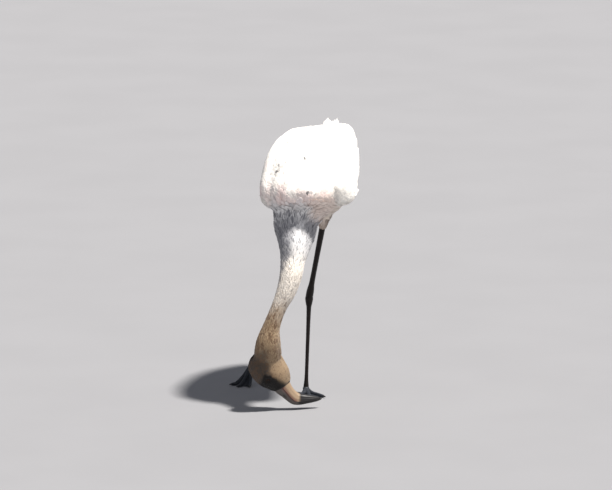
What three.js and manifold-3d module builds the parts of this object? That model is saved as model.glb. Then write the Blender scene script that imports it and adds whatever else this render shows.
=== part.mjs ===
// A greater flamingo in its grey and white immature plumage, life size, as a still display model.
// The bird faces -Y with its head down to feed, standing on its left leg with the right foot
// trailing on its toe tips. Millimetres, +Z up, floor at z = 0. Left means the bird's own left, +X.
import * as THREE from "three";
import { mergeVertices } from "three/addons/utils/BufferGeometryUtils.js";
import Module from "manifold-3d";

const wasm = await Module();
wasm.setup();

// ---- driving dimensions ----
const GAP = 0.35; // air left between neighbouring pieces
const TOE = { inner: 66, middle: 76, outer: 70, hind: 14 }; // toe lengths without the claws
const TOE_SPREAD = 27; // degrees between neighbouring front toes
const TOE_THICK = 5; // half the thickness of a toe in its middle
const TOE_SINK = 0.7; // how far a toe's underside is trimmed flat on the floor
const WEB_THICK = 2.4;
const CLAW = { front: 9, hind: 5 };
const EYE_RADIUS = 6;
const BILL_BASE = [-43.4, -179, 57.4]; // middle of the bill where the feathers end
const HEAD_TURN = 25; // degrees that the bill's heading is turned from +X towards +Y
const HEAD_DIP = 50; // degrees that the bill's straight part points below the level
const BILL = { straight: 36, bendRadius: 24, bendDegrees: 53, tip: 58 }; // along the mouth line
const LEAN = 6; // degrees that the trunk and wings are raised on the left, over the planted leg
// How far each folded wing hangs below the trunk's line, how far it stands out from the body
// at the bend and in the middle, its height, and how full its section is.
const WING_SET = {
  left: { droop: 0, bend: 5, middle: -5, height: 1, roundness: 2.8 },
  right: { droop: -5, bend: -7, middle: -3, height: 0.94, roundness: 2.2 },
};

const COLOURS = {
  white: 0xf1eeea,
  greyWhite: 0xc9c5c2,
  buff: 0xb59a7c,
  brown: 0x8d7660,
  horn: 0xc9b5a4,
  black: 0x1d1b1c,
  slate: 0x2f3036,
  eye: 0x2a1a10,
};

// ---- small tools ----
const vec = (x, y, z) => new THREE.Vector3(x, y, z);
const radians = THREE.MathUtils.degToRad;

// A closed body through stations [x, y, z, halfWidth, up, down], cut square at both ends.
// side(t) is the direction of the half width, roundness 2 makes an ellipse and more a fuller section.
class Loft {
  constructor(stations, { side = () => vec(1, 0, 0), roundness = 2 } = {}) {
    this.centre = new THREE.CatmullRomCurve3(
      stations.map(([x, y, z]) => vec(x, y, z)), false, "catmullrom", 0.5);
    this.size = new THREE.CatmullRomCurve3(
      stations.map(([, , , w, up, down]) => vec(w, up, down)), false, "catmullrom", 0.5);
    this.side = side;
    this.roundness = roundness;
  }

  frame(t) {
    const along = this.centre.getTangent(t);
    const wanted = this.side(t);
    const side = wanted.clone().addScaledVector(along, -wanted.dot(along)).normalize();
    return { along, side, up: side.clone().cross(along).normalize() };
  }

  point(t, angle) {
    const { side, up } = this.frame(t);
    const size = this.size.getPoint(t);
    const full = (value) => Math.sign(value) * Math.abs(value) ** (2 / this.roundness);
    const height = Math.sin(angle) > 0 ? size.y : size.z;
    return this.centre.getPoint(t)
      .addScaledVector(side, size.x * full(Math.cos(angle)))
      .addScaledVector(up, height * full(Math.sin(angle)));
  }

  solid({ rings, sides, from = 0, to = 1 }) {
    const points = [];
    const faces = [];
    for (let i = 0; i <= rings; i++)
      for (let j = 0; j < sides; j++)
        points.push(this.point(from + ((to - from) * i) / rings, (2 * Math.PI * j) / sides));
    for (const [ring, t] of [[0, from], [rings * sides, to]]) {
      const middle = points.push(this.centre.getPoint(t)) - 1;
      for (let j = 0; j < sides; j++) {
        const [a, b] = [ring + j, ring + ((j + 1) % sides)];
        faces.push(ring ? [middle, b, a] : [middle, a, b]);
      }
    }
    for (let i = 0; i < rings; i++)
      for (let j = 0; j < sides; j++) {
        const [a, b] = [i * sides + j, i * sides + ((j + 1) % sides)];
        faces.push([a, a + sides, b], [b, a + sides, b + sides]);
      }
    return solidOf(points, faces);
  }
}

// A thin slab of even thickness over a grid of points, for the webs between the toes.
function slab(pointAt, columns, rows, thickness) {
  const count = (columns + 1) * (rows + 1);
  const index = (i, j) => i * (rows + 1) + j;
  const middle = [];
  for (let i = 0; i <= columns; i++)
    for (let j = 0; j <= rows; j++) middle.push(pointAt(i / columns, j / rows));
  const normal = (i, j) => {
    const [i0, i1] = [Math.max(i - 1, 0), Math.min(i + 1, columns)];
    const [j0, j1] = [Math.max(j - 1, 0), Math.min(j + 1, rows)];
    const du = middle[index(i1, j)].clone().sub(middle[index(i0, j)]);
    const dv = middle[index(i, j1)].clone().sub(middle[index(i, j0)]);
    return du.cross(dv).normalize();
  };
  const points = [];
  for (const face of [0.5, -0.5])
    for (let i = 0; i <= columns; i++)
      for (let j = 0; j <= rows; j++)
        points.push(middle[index(i, j)].clone().addScaledVector(normal(i, j), face * thickness));
  const faces = [];
  const quad = (a, b, c, d) => faces.push([a, b, c], [a, c, d]);
  for (let i = 0; i < columns; i++)
    for (let j = 0; j < rows; j++) {
      const [a, b, c, d] = [index(i, j), index(i + 1, j), index(i + 1, j + 1), index(i, j + 1)];
      quad(a, b, c, d);
      quad(count + d, count + c, count + b, count + a);
    }
  for (let i = 0; i < columns; i++) {
    quad(index(i, 0), count + index(i, 0), count + index(i + 1, 0), index(i + 1, 0));
    quad(index(i + 1, rows), count + index(i + 1, rows), count + index(i, rows), index(i, rows));
  }
  for (let j = 0; j < rows; j++) {
    quad(index(0, j + 1), count + index(0, j + 1), count + index(0, j), index(0, j));
    quad(index(columns, j), count + index(columns, j), count + index(columns, j + 1), index(columns, j + 1));
  }
  return solidOf(points, faces);
}

function solidOf(points, faces) {
  const made = new wasm.Manifold(new wasm.Mesh({
    numProp: 3,
    vertProperties: Float32Array.from(points.flatMap((p) => [p.x, p.y, p.z])),
    triVerts: Uint32Array.from(faces.flat()),
  }));
  return made.volume() < 0 ? solidOf(points, faces.map(([a, b, c]) => [a, c, b])) : made;
}

function solidOfGeometry(geometry) {
  const bare = geometry.clone();
  bare.deleteAttribute("normal");
  bare.deleteAttribute("uv");
  const merged = mergeVertices(bare, 1e-4);
  return new wasm.Manifold(new wasm.Mesh({
    numProp: 3,
    vertProperties: merged.attributes.position.array,
    triVerts: Uint32Array.from(merged.index.array),
  }));
}

// The same solid with every face moved out, to cut a neighbour and leave a gap between the two.
function grown(solid, by = GAP) {
  const { vertProperties, triVerts } = solid.getMesh();
  const corner = (i) => vec(...vertProperties.subarray(3 * i, 3 * i + 3));
  const points = Array.from({ length: vertProperties.length / 3 }, (_, i) => corner(i));
  const normals = points.map(() => vec(0, 0, 0));
  const faces = [];
  for (let t = 0; t < triVerts.length; t += 3) {
    const face = [triVerts[t], triVerts[t + 1], triVerts[t + 2]];
    const [a, b, c] = face.map((i) => points[i]);
    const slope = b.clone().sub(a).cross(c.clone().sub(a));
    for (const i of face) normals[i].add(slope);
    faces.push(face);
  }
  return solidOf(points.map((p, i) => p.addScaledVector(normals[i].normalize(), by)), faces);
}

const ball = (centre, radius, detail = 10) =>
  solidOfGeometry(new THREE.SphereGeometry(radius, detail, detail * 0.75).translate(...centre));

// Everything under the floor's level, which trims flats where the bird touches the floor.
const underFloor = solidOfGeometry(new THREE.BoxGeometry(2000, 2000, 200).translate(0, 0, -100));

const largest = (solid) =>
  solid.decompose().reduce((best, piece) => (piece.volume() > best.volume() ? piece : best));

const cut = (solid, ...tools) => largest(tools.reduce((left, tool) => left.subtract(tool), solid));

// A station of the trunk or a wing, raised on the left by the lean, and the side vector to match.
const leaning = ([x, y, z, ...size]) => [x, y, z + x * Math.tan(radians(LEAN)), ...size];
const leaningSide = () => vec(Math.cos(radians(LEAN)), 0, Math.sin(radians(LEAN)));

const bird = new THREE.Group();

function add(name, solid, colour, roughness = 0.8) {
  const { vertProperties, triVerts, numProp } = solid.getMesh();
  const positions = new Float32Array((vertProperties.length / numProp) * 3);
  for (let i = 0; i < positions.length / 3; i++)
    positions.set(vertProperties.subarray(i * numProp, i * numProp + 3), i * 3);
  const geometry = new THREE.BufferGeometry()
    .setAttribute("position", new THREE.BufferAttribute(positions, 3))
    .setIndex(new THREE.BufferAttribute(triVerts, 1));
  geometry.computeVertexNormals();
  const material = new THREE.MeshStandardMaterial({ color: colour, roughness, metalness: 0 });
  const mesh = new THREE.Mesh(geometry, material);
  mesh.name = name;
  bird.add(mesh);
}

// ---- trunk: breast to rump, a little higher at the tail ----
// [x, y, z, halfWidth, up, down]
const trunk = new Loft([
  [0, -177, 518, 6, 6, 6],
  [0, -169, 518, 42, 27, 18],
  [0, -148, 518, 74, 52, 36],
  [0, -105, 521, 95, 80, 68],
  [0, -55, 532, 98, 100, 90],
  [0, 0, 545, 97, 104, 98],
  [0, 55, 556, 92, 101, 92],
  [0, 105, 566, 80, 91, 82],
  [0, 150, 574, 62, 74, 65],
  [0, 190, 578, 43, 56, 42],
  [0, 222, 580, 25, 41, 21],
  [0, 244, 583, 8, 20, 7],
].map(leaning), { side: leaningSide, roundness: 2.3 });
const TRUNK_MESH = { rings: 20, sides: 24 };
const trunkSolid = trunk.solid(TRUNK_MESH);
const trunkTool = grown(trunkSolid);
add("trunk", trunkSolid, COLOURS.white);

// ---- directions of the hanging head, crown down ----
const HEADING = vec(Math.cos(radians(HEAD_TURN)), Math.sin(radians(HEAD_TURN)), 0);
const FORWARD = HEADING.clone().multiplyScalar(Math.cos(radians(HEAD_DIP)))
  .add(vec(0, 0, -Math.sin(radians(HEAD_DIP))));
const LEFT = vec(0, 0, 1).cross(HEADING).negate();
const CROWN = FORWARD.clone().cross(LEFT);

// ---- head and bill in the head's own axes: x to the bill, y to its left, z to the crown, with
// x = 0 where the feathers end at the bill ----
const headFrame = new THREE.Matrix4().makeBasis(FORWARD, LEFT, CROWN).setPosition(...BILL_BASE);
const inWorld = (solid) => solid.transform(headFrame.elements);
const head = new Loft([
  [-106, 0, -10, 6, 8, 8],
  [-101, 0, -11, 19, 27, 25],
  [-88, 0, -10, 26, 40, 38],
  [-68, 0, -7, 27.5, 45, 44],
  [-48, 0, -6, 27, 44, 42],
  [-28, 0, -6, 24, 39, 38],
  [-12, 0, -5, 19, 31, 31],
  [2, 0, -4, 15.5, 22, 24],
], { side: () => vec(0, -1, 0), roundness: 2.1 });
const HEAD_MESH = { rings: 13, sides: 20 };
const EYE_AT = [-41, 18.4, 16];
const eyeSockets = [["eye_left", 1], ["eye_right", -1]].map(([name, side]) => {
  const [x, y, z] = EYE_AT;
  add(name, inWorld(ball([x, side * y, z], EYE_RADIUS)), COLOURS.eye, 0.15);
  return ball([x, side * y, z], EYE_RADIUS + GAP);
});

// The mouth line runs straight from the face, round the bend, then straight to the tip, and the
// two halves of the bill grow from it.
const bendAngle = radians(BILL.bendDegrees);
const bendLength = BILL.bendRadius * bendAngle;
const BILL_LENGTH = BILL.straight + bendLength + BILL.tip;
function mouthPoint(s) {
  const turned = THREE.MathUtils.clamp((s - BILL.straight) / bendLength, 0, 1) * bendAngle;
  const before = Math.min(s, BILL.straight);
  const after = Math.max(s - BILL.straight - bendLength, 0);
  return {
    x: before + BILL.bendRadius * Math.sin(turned) + after * Math.cos(bendAngle),
    z: -BILL.bendRadius * (1 - Math.cos(turned)) - after * Math.sin(bendAngle),
  };
}
// [share of the mouth line, halfWidth, depth]
const UPPER_BILL = [[-0.04, 14, 19], [0.06, 13.5, 17.5], [0.16, 12.5, 14.5], [0.28, 11.5, 12],
  [0.4, 11, 10.5], [0.52, 10.5, 10], [0.66, 9.5, 9], [0.8, 8, 7.5], [0.92, 5.5, 5.5], [1, 1.5, 2]];
const LOWER_BILL = [[-0.04, 14.5, 25], [0.06, 14, 22], [0.16, 14, 19.5], [0.28, 14, 19.5],
  [0.4, 14, 20], [0.52, 13, 18], [0.66, 11.5, 13.5], [0.8, 9, 9], [0.9, 6, 5], [0.97, 2, 1.5]];
const billHalf = (table, upper) => new Loft(table.map(([share, width, depth]) => {
  const { x, z } = mouthPoint(share * BILL_LENGTH);
  return upper ? [x, 0, z + GAP, width, depth, 0.1] : [x, 0, z - GAP, width, 0.1, depth];
}), { side: () => vec(0, -1, 0), roundness: 2.3 });
const BILL_MESH = { rings: 14, sides: 12 };
const upperBill = billHalf(UPPER_BILL, true).solid(BILL_MESH);
const lowerBill = billHalf(LOWER_BILL, false).solid(BILL_MESH);
const headTool = grown(head.solid(HEAD_MESH));
const headSolid = inWorld(head.solid(HEAD_MESH).subtract(eyeSockets[0]).subtract(eyeSockets[1]));
add("head", headSolid, COLOURS.brown);
add("bill_upper", cut(inWorld(cut(upperBill, headTool)), underFloor), COLOURS.horn, 0.45);
add("bill_lower", inWorld(cut(lowerBill, headTool)), COLOURS.horn, 0.45);

// ---- neck: one bent length from the breast to the head, in three parts ----
const neck = new Loft([
  [-4, -95, 492, 62, 40, 48],
  [-15, -108, 469, 61, 40, 46],
  [-19, -116, 445, 56, 34, 48],
  [-17, -127, 420, 50, 30, 50],
  [-16, -148, 395, 40, 27, 44],
  [-17, -170, 364, 31, 27, 33],
  [-19, -187, 332, 28, 27, 27],
  [-28, -197, 296, 24.5, 24, 24],
  [-45, -206, 256, 19.5, 19.5, 19.5],
  [-61, -212, 212, 21.5, 21, 21],
  [-69, -213, 171, 31, 24, 25],
  [-72, -203, 132, 34, 19, 21],
  [-69.4, -192, 106.4, 24, 12, 12],
], { side: (t) => vec(1, 0, 0).lerp(HEADING, THREE.MathUtils.smoothstep(t, 0.65, 0.9)) });
const NECK_PARTS = [["neck_lower", 0, 0.44, COLOURS.greyWhite, 11],
  ["neck_middle", 0.44, 0.69, COLOURS.white, 7], ["neck_upper", 0.69, 1, COLOURS.buff, 9]];
const headWorldTool = inWorld(headTool);
const neckTools = {};
for (const [name, from, to, colour, rings] of NECK_PARTS) {
  const end = to < 1 ? to - GAP / neck.centre.getLength() : to;
  const part = neck.solid({ rings, sides: 18, from, to: end });
  const tools = { neck_lower: [trunkTool], neck_upper: [headWorldTool] }[name] ?? [];
  neckTools[name] = grown(part);
  add(name, cut(part, ...tools), colour);
}

// ---- wings, folded: a rounded bend in front, broad inner feathers over the back ----
const WING = [
  [72, -137, 508, 10, 16, 14],
  [77, -127, 510, 26, 34, 26],
  [84, -100, 517, 34, 52, 36],
  [82, -50, 534, 36, 74, 50],
  [78, 0, 550, 37, 81, 60],
  [70, 60, 563, 38, 82, 62],
  [60, 120, 576, 39, 74, 60],
  [50, 160, 583, 38, 64, 52],
  [38, 200, 589, 32, 50, 38],
  [25, 240, 594, 20, 32, 20],
  [16, 272, 597, 9, 12, 9],
];
// The black outer flight feathers, folded under the wing and showing past it.
const FLIGHT = [
  [44, 60, 540, 9, 22, 20],
  [36, 140, 562, 10, 20, 20],
  [26, 210, 578, 9, 17, 16],
  [18, 265, 587, 7, 12, 11],
  [13, 305, 592, 4.5, 7, 6],
  [10, 322, 594, 1.5, 2, 2],
];
const tail = new Loft([
  [0, 180, 566, 34, 9, 9],
  [0, 230, 572, 37, 7, 7],
  [0, 275, 575, 34, 5, 5],
  [0, 296, 576, 24, 3.5, 3.5],
  [0, 303, 576, 10, 2, 2],
], { roundness: 2.6 });
const TAIL_MESH = { rings: 8, sides: 16 };
const tailSolid = tail.solid(TAIL_MESH);
const wingTools = [];
for (const [name, side] of [["left", 1], ["right", -1]]) {
  // The droop and the standing out are full at the bend and fade out by the tail.
  const { droop, bend, middle, height, roundness } = WING_SET[name];
  const wing = new Loft(WING.map(([x, y, z, width, up, down]) => {
    const drop = droop * (1 - 0.6 * THREE.MathUtils.smoothstep(y, -60, 160));
    const out = THREE.MathUtils.lerp(bend, middle, THREE.MathUtils.smoothstep(y, -105, 10))
      * (1 - THREE.MathUtils.smoothstep(y, 110, 230));
    return leaning([side * (x + out), y, z - drop, width, up * height, down * height]);
  }), { side: leaningSide, roundness });
  const wingMesh = { rings: 15, sides: 16 };
  const middlePlane = solidOfGeometry(
    new THREE.BoxGeometry(400, 1200, 1200).translate(-side * (200 - GAP), 0, 500));
  const wingSolid = wing.solid(wingMesh);
  add(`wing_${name}`, cut(wingSolid, trunkTool, middlePlane, neckTools.neck_lower), COLOURS.white);
  const flight = new Loft(FLIGHT.map(([x, ...rest]) => [side * x, ...rest]))
    .solid({ rings: 10, sides: 10 });
  wingTools.push(grown(wingSolid));
  const flightTools = [trunkTool, wingTools.at(-1), middlePlane, grown(tailSolid)];
  add(`flight_feathers_${name}`, cut(flight, ...flightTools), COLOURS.black, 0.6);
}
add("tail", cut(tailSolid, trunkTool, ...wingTools), COLOURS.white);

// Two back feathers that stand up out of the rest.
for (const [name, x] of [["plume_inner", 8], ["plume_outer", 31]]) {
  const plume = new Loft([
    [x, 134, 622, 5, 1.2, 1.2],
    [x, 148, 642, 7.5, 1, 1],
    [x + 1, 160, 655, 6.5, 0.8, 0.8],
    [x + 2, 170, 664, 1.5, 0.6, 0.6],
  ]);
  add(name, cut(plume.solid({ rings: 5, sides: 8 }), trunkTool, ...wingTools), COLOURS.white);
}

// ---- legs ----
const LEGS = {
  left: {
    knee: [46, -40, 498], ankle: [-13, 35, 240], joint: [-20, 30, 12],
    heading: 70, rise: 7, reach: 1, flatFrom: 0.3, hindDrop: 7,
  },
  right: {
    knee: [-66, -40, 500], ankle: [-76, 80, 245], joint: [-174, 124, 45],
    heading: 112, rise: 40, reach: 0.8, flatFrom: 0.8, hindDrop: -4,
  },
};
for (const [name, leg] of Object.entries(LEGS)) {
  const { knee, ankle, joint } = leg;
  const thighLine = (share) => vec(...knee).lerp(vec(...ankle), share).toArray();
  const tarsusLine = (share) => vec(...ankle).lerp(vec(...joint), share).toArray();
  const thigh = new Loft([
    [...thighLine(-0.1), 30, 33, 33], [...thighLine(0.07), 26, 29, 29],
    [...thighLine(0.17), 18, 20, 20], [...thighLine(0.3), 8.8, 9.2, 9.2],
  ]);
  const shank = new Loft([
    [...thighLine(0.302), 7.4, 7.8, 7.8], [...thighLine(0.6), 6.5, 6.9, 6.9],
    [...thighLine(0.84), 6.6, 7.2, 7.2], [...thighLine(0.93), 8.8, 9.8, 9.8],
    [...thighLine(0.985), 9.2, 10.5, 10.5],
  ]);
  const tarsus = new Loft([
    [...tarsusLine(-0.002), 9.2, 10.5, 10.5], [...tarsusLine(0.03), 9.6, 11.2, 11.2],
    [...tarsusLine(0.08), 7.6, 9, 9], [...tarsusLine(0.15), 5.6, 6.6, 6.6],
    [...tarsusLine(0.5), 4.6, 5.8, 5.8], [...tarsusLine(0.86), 4.6, 5.6, 5.6],
    [...tarsusLine(0.97), 6.5, 6.5, 6.5],
  ]);
  const tarsusSolid = tarsus.solid({ rings: 12, sides: 10 });
  const tarsusTool = grown(tarsusSolid);
  const shankSolid = shank.solid({ rings: 7, sides: 10 });
  const thighSolid = cut(thigh.solid({ rings: 6, sides: 14 }), trunkTool,
    ...wingTools, grown(shankSolid));
  add(`thigh_${name}`, thighSolid, COLOURS.greyWhite);
  add(`shank_${name}`, cut(shankSolid, tarsusTool), COLOURS.slate, 0.6);
  add(`tarsus_${name}`, tarsusSolid, COLOURS.slate, 0.6);

  // A front toe runs out from the joint and comes down to the floor at flatFrom of its length.
  const toePoint = (length, turn, share) => {
    const angle = radians(turn - leg.heading);
    if (turn === 180)
      return vec(joint[0] + Math.cos(angle) * length * share,
        joint[1] + Math.sin(angle) * length * share, joint[2] - leg.hindDrop * share);
    const fall = Math.max(1 - share / leg.flatFrom, 0) ** 1.3;
    return vec(joint[0] + Math.cos(angle) * length * leg.reach * share,
      joint[1] + Math.sin(angle) * length * leg.reach * share,
      TOE_THICK - TOE_SINK + leg.rise * fall);
  };
  const across = (turn) => vec(
    Math.sin(radians(turn - leg.heading)), -Math.cos(radians(turn - leg.heading)), 0);
  const toeLoft = (length, turn, from, to, sizes) => new Loft(sizes.map((size, k) => {
    const share = from + ((to - from) * k) / (sizes.length - 1);
    return [...toePoint(length, turn, share).toArray(), size, size, size];
  }), { side: () => across(turn) });
  const outward = name === "left" ? 1 : -1;
  const toes = { inner: -outward * TOE_SPREAD, middle: 0, outer: outward * TOE_SPREAD, hind: 180 };
  const parts = [ball(joint, 8.5, 8)];
  for (const [toe, turn] of Object.entries(toes)) {
    const length = TOE[toe];
    const sizes = toe === "hind" ? [5, 4.5, 3.5, 2.6] : [7, 6, TOE_THICK, TOE_THICK, 4.6, 3.6];
    parts.push(toeLoft(length, turn, 0, 1, sizes).solid({ rings: toe === "hind" ? 2 : 5, sides: 8 }));
    const start = 1 + GAP / length;
    const clawLength = toe === "hind" ? CLAW.hind : CLAW.front;
    const claw = toeLoft(length, turn, start, start + clawLength / length, [2.6, 2, 0.8]);
    add(`claw_${toe}_${name}`, cut(claw.solid({ rings: 2, sides: 6 }), underFloor), COLOURS.black, 0.4);
  }
  for (const toe of ["inner", "outer"])
    parts.push(slab((u, v) => {
      const edge = 0.93 - 0.7 * v * (1 - v);
      const [a, b] = [toePoint(TOE[toe], toes[toe], u * edge), toePoint(TOE.middle, 0, u * edge)];
      return a.lerp(b, v).add(vec(0, 0, 0.45 * WEB_THICK - TOE_THICK + TOE_SINK));
    }, 5, 3, WEB_THICK));
  const foot = parts.reduce((whole, part) => whole.add(part));
  add(`foot_${name}`, cut(foot, tarsusTool, underFloor), COLOURS.slate, 0.6);
}

// The frame's origin is on the floor under the middle of the bird.
const extent = new THREE.Box3().setFromObject(bird);
bird.position.set(-(extent.min.x + extent.max.x) / 2, -(extent.min.y + extent.max.y) / 2, 0);

export default bird;
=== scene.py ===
"""Dresses the greater flamingo's solids: one skin, its plumage in closed vanes, and the horny parts.

Lengths in the tables are millimetres in the maker's axes: the bird faces -Y, its left is +X and the
floor is z = 0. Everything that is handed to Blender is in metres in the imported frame.
"""

import math

import bmesh
import bpy
import numpy as np
from bpy.props import FloatProperty, FloatVectorProperty, IntProperty, PointerProperty
from mathutils import Matrix, Vector
from mathutils.bvhtree import BVHTree
from mathutils.kdtree import KDTree


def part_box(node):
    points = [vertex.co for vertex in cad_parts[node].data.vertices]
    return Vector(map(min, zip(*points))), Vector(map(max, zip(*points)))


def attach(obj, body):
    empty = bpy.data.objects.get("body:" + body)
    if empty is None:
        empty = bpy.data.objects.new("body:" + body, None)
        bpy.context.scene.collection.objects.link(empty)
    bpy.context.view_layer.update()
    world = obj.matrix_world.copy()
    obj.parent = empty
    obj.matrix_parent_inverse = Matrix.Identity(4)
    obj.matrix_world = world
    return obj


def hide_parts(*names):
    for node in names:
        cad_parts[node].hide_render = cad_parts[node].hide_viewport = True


bl_info = {
    "name": "Flamingo Dressing",
    "version": (1, 0, 0),
    "blender": (4, 5, 0),
    "location": "3D View > Sidebar > Flamingo",
    "description": "Skin, plumage, bill, eyes and legs of a life-size young greater flamingo",
    "category": "Object",
}

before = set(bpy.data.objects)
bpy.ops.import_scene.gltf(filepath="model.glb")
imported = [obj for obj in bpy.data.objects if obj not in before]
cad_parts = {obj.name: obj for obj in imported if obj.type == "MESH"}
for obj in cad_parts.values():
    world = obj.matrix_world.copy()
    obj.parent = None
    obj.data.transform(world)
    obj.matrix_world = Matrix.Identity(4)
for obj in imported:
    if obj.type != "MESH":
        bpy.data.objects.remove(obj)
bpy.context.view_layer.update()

X, _, Z = np.eye(3)


# ---- vectors, colours and noise ----
def unit(v):
    return v / np.maximum(np.linalg.norm(v, axis=-1, keepdims=True), 1e-9)


def dot(a, b):
    return np.sum(a * b, axis=-1, keepdims=True)


def ramp(value, low, high):
    """0 below low, 1 above high, and a smooth change between them."""
    share = np.clip((np.asarray(value, float) - low) / (high - low), 0, 1)
    return share * share * (3 - 2 * share)


def tone(code):
    """The linear colour of a six-figure display colour."""
    rgb = np.array([(code >> shift) & 255 for shift in (16, 8, 0)]) / 255
    return np.where(rgb <= 0.04045, rgb / 12.92, ((rgb + 0.055) / 1.055) ** 2.4)


def mix(a, b, share):
    share = np.asarray(share, float)
    if share.ndim == 1:
        share = share[:, None]
    return a * (1 - share) + b * share


def grain(points, size, seed):
    """Smooth random values from 0 to 1 that change over about size millimetres."""
    place = points / size + seed * 17.3
    cell = np.floor(place)
    share = place - cell
    share = share * share * (3 - 2 * share)
    total = np.zeros(len(points))
    for corner in np.ndindex(2, 2, 2):
        key = (cell + corner) @ np.array([127.1, 311.7, 74.7])
        value = np.modf(np.abs(np.sin(key) * 43758.5453))[0]
        weight = np.prod(np.where(np.array(corner) == 1, share, 1 - share), axis=1)
        total += value * weight
    return total


# ---- lofts: the same smooth bodies as the solids ----
def curve(stations, t):
    """Points of the smooth curve through the stations, at an array of shares t."""
    count = len(stations)
    place = np.clip(np.asarray(t, float), 0, 1) * (count - 1)
    first = np.minimum(place.astype(int), count - 2)
    w = (place - first)[:, None]
    ends = np.vstack([2 * stations[0] - stations[1], stations, 2 * stations[-1] - stations[-2]])
    a, b, c, d = (ends[first + k] for k in range(4))
    leave, arrive = 0.5 * (c - a), 0.5 * (d - b)
    return b + leave * w + (3 * (c - b) - 2 * leave - arrive) * w**2 + (
        2 * (b - c) + leave + arrive) * w**3


class Loft:
    """A closed body through stations (x, y, z, half width, up, down)."""

    def __init__(self, stations, side=lambda t: X, roundness=2.0):
        table = np.array(stations, float)
        self.line, self.size = table[:, :3], table[:, 3:]
        self.side, self.roundness = side, roundness

    def frame(self, t):
        along = unit(curve(self.line, t + 1e-4) - curve(self.line, t - 1e-4))
        wanted = np.broadcast_to(self.side(t), along.shape)
        side = unit(wanted - dot(wanted, along) * along)
        return along, side, np.cross(side, along)

    def at(self, t, angle, inset=0.0):
        """Points of the surface, drawn in by inset."""
        _, side, up = self.frame(t)
        size = np.maximum(curve(self.size, t) - np.reshape(inset, (-1, 1)), 0.6)
        cos, sin = np.cos(angle), np.sin(angle)
        full = lambda v: np.sign(v) * np.abs(v) ** (2 / self.roundness)
        height = np.where(sin > 0, size[:, 1], size[:, 2])
        return (curve(self.line, t) + side * (size[:, 0] * full(cos))[:, None]
                + up * (height * full(sin))[:, None])

    def grid(self, rings, sides, start=0.0, end=1.0, inset=lambda t: 0.0):
        t = np.repeat(np.linspace(start, end, rings + 1), sides)
        angle = np.tile(np.arange(sides) * 2 * np.pi / sides, rings + 1)
        return t, angle, self.at(t, angle, np.broadcast_to(inset(t), t.shape))

    def shell(self, rings, sides, start=0.0, end=1.0, inset=lambda t: 0.0):
        """Corners and faces of the closed body."""
        _, _, points = self.grid(rings, sides, start, end, inset)
        return points, closed_tube(rings, sides)


def tube_faces(rings, sides):
    """Four-sided faces between the rings of an open tube."""
    ring, step = np.meshgrid(np.arange(rings), np.arange(sides), indexing="ij")
    a, b = ring * sides + step, ring * sides + (step + 1) % sides
    return np.stack([b, a, a + sides, b + sides], -1).reshape(-1, 4)[:, ::-1].tolist()


def closed_tube(rings, sides):
    """Faces of a tube with one many-sided face over each end."""
    ends = [list(range(sides)), [rings * sides + k for k in range(sides)][::-1]]
    return tube_faces(rings, sides) + ends


# ---- the bird's measures ----
LEAN = math.radians(6)  # the trunk and wings are raised on the left by this
# how far each folded wing hangs, how far it stands out at the bend and in the middle, its height
# and how full its section is
WING_SET = {"left": dict(droop=0, bend=5, middle=-5, height=1, roundness=2.8),
            "right": dict(droop=-5, bend=-7, middle=-3, height=0.94, roundness=2.2)}
HEAD_TURN, HEAD_DIP = math.radians(25), math.radians(50)
BILL_BASE = np.array([-43.4, -179.0, 57.4])
HEADING = np.array([math.cos(HEAD_TURN), math.sin(HEAD_TURN), 0])
FORWARD = HEADING * math.cos(HEAD_DIP) - Z * math.sin(HEAD_DIP)
LEFT = -np.cross(Z, HEADING)
CROWN = np.cross(FORWARD, LEFT)
HEAD_AXES = np.stack([FORWARD, LEFT, CROWN])
EYE_AT = {"left": (-41, 18.4, 16), "right": (-41, -18.4, 16)}
EYE_RADIUS = 6.0


def from_head(points):
    """Maker's coordinates of points in the head's axes: to the bill, to its left, to the crown."""
    return BILL_BASE + np.asarray(points, float) @ HEAD_AXES


def to_head(points):
    return (points - BILL_BASE) @ HEAD_AXES.T


def eye_axis(name):
    """The way that an eye looks: outwards, a little to the bill and to the crown."""
    return unit(LEFT * (1 if name == "left" else -1) + 0.12 * FORWARD + 0.10 * CROWN)


EYES = {name: from_head(place) for name, place in EYE_AT.items()}
SHIFT = np.array(sum(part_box("eye_left"), Vector())) / 2 * 1000 - EYES["left"]


def leaning(stations):
    """The stations raised on the left by the body's lean."""
    return [(x, y, z + x * math.tan(LEAN), *size) for x, y, z, *size in stations]


LEANING_SIDE = np.array([math.cos(LEAN), 0, math.sin(LEAN)])
TRUNK = Loft(leaning([
    (0, -177, 518, 6, 6, 6), (0, -169, 518, 42, 27, 18), (0, -148, 518, 74, 52, 36),
    (0, -105, 521, 95, 80, 68), (0, -55, 532, 98, 100, 90), (0, 0, 545, 97, 104, 98),
    (0, 55, 556, 92, 101, 92), (0, 105, 566, 80, 91, 82), (0, 150, 574, 62, 74, 65),
    (0, 190, 578, 43, 56, 42), (0, 222, 580, 25, 41, 21), (0, 244, 583, 8, 20, 7),
]), side=lambda t: LEANING_SIDE, roundness=2.3)
NECK = Loft([
    (-4, -95, 492, 62, 40, 48), (-15, -108, 469, 61, 40, 46), (-19, -116, 445, 56, 34, 48),
    (-17, -127, 420, 50, 30, 50), (-16, -148, 395, 40, 27, 44), (-17, -170, 364, 31, 27, 33),
    (-19, -187, 332, 28, 27, 27), (-28, -197, 296, 24.5, 24, 24),
    (-45, -206, 256, 19.5, 19.5, 19.5), (-61, -212, 212, 21.5, 21, 21),
    (-69, -213, 171, 31, 24, 25), (-72, -203, 132, 34, 19, 21),
    (-69.4, -192, 106.4, 24, 12, 12),
], side=lambda t: mix(np.tile(X, (len(t), 1)), HEADING, ramp(t, 0.65, 0.9)))
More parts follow.
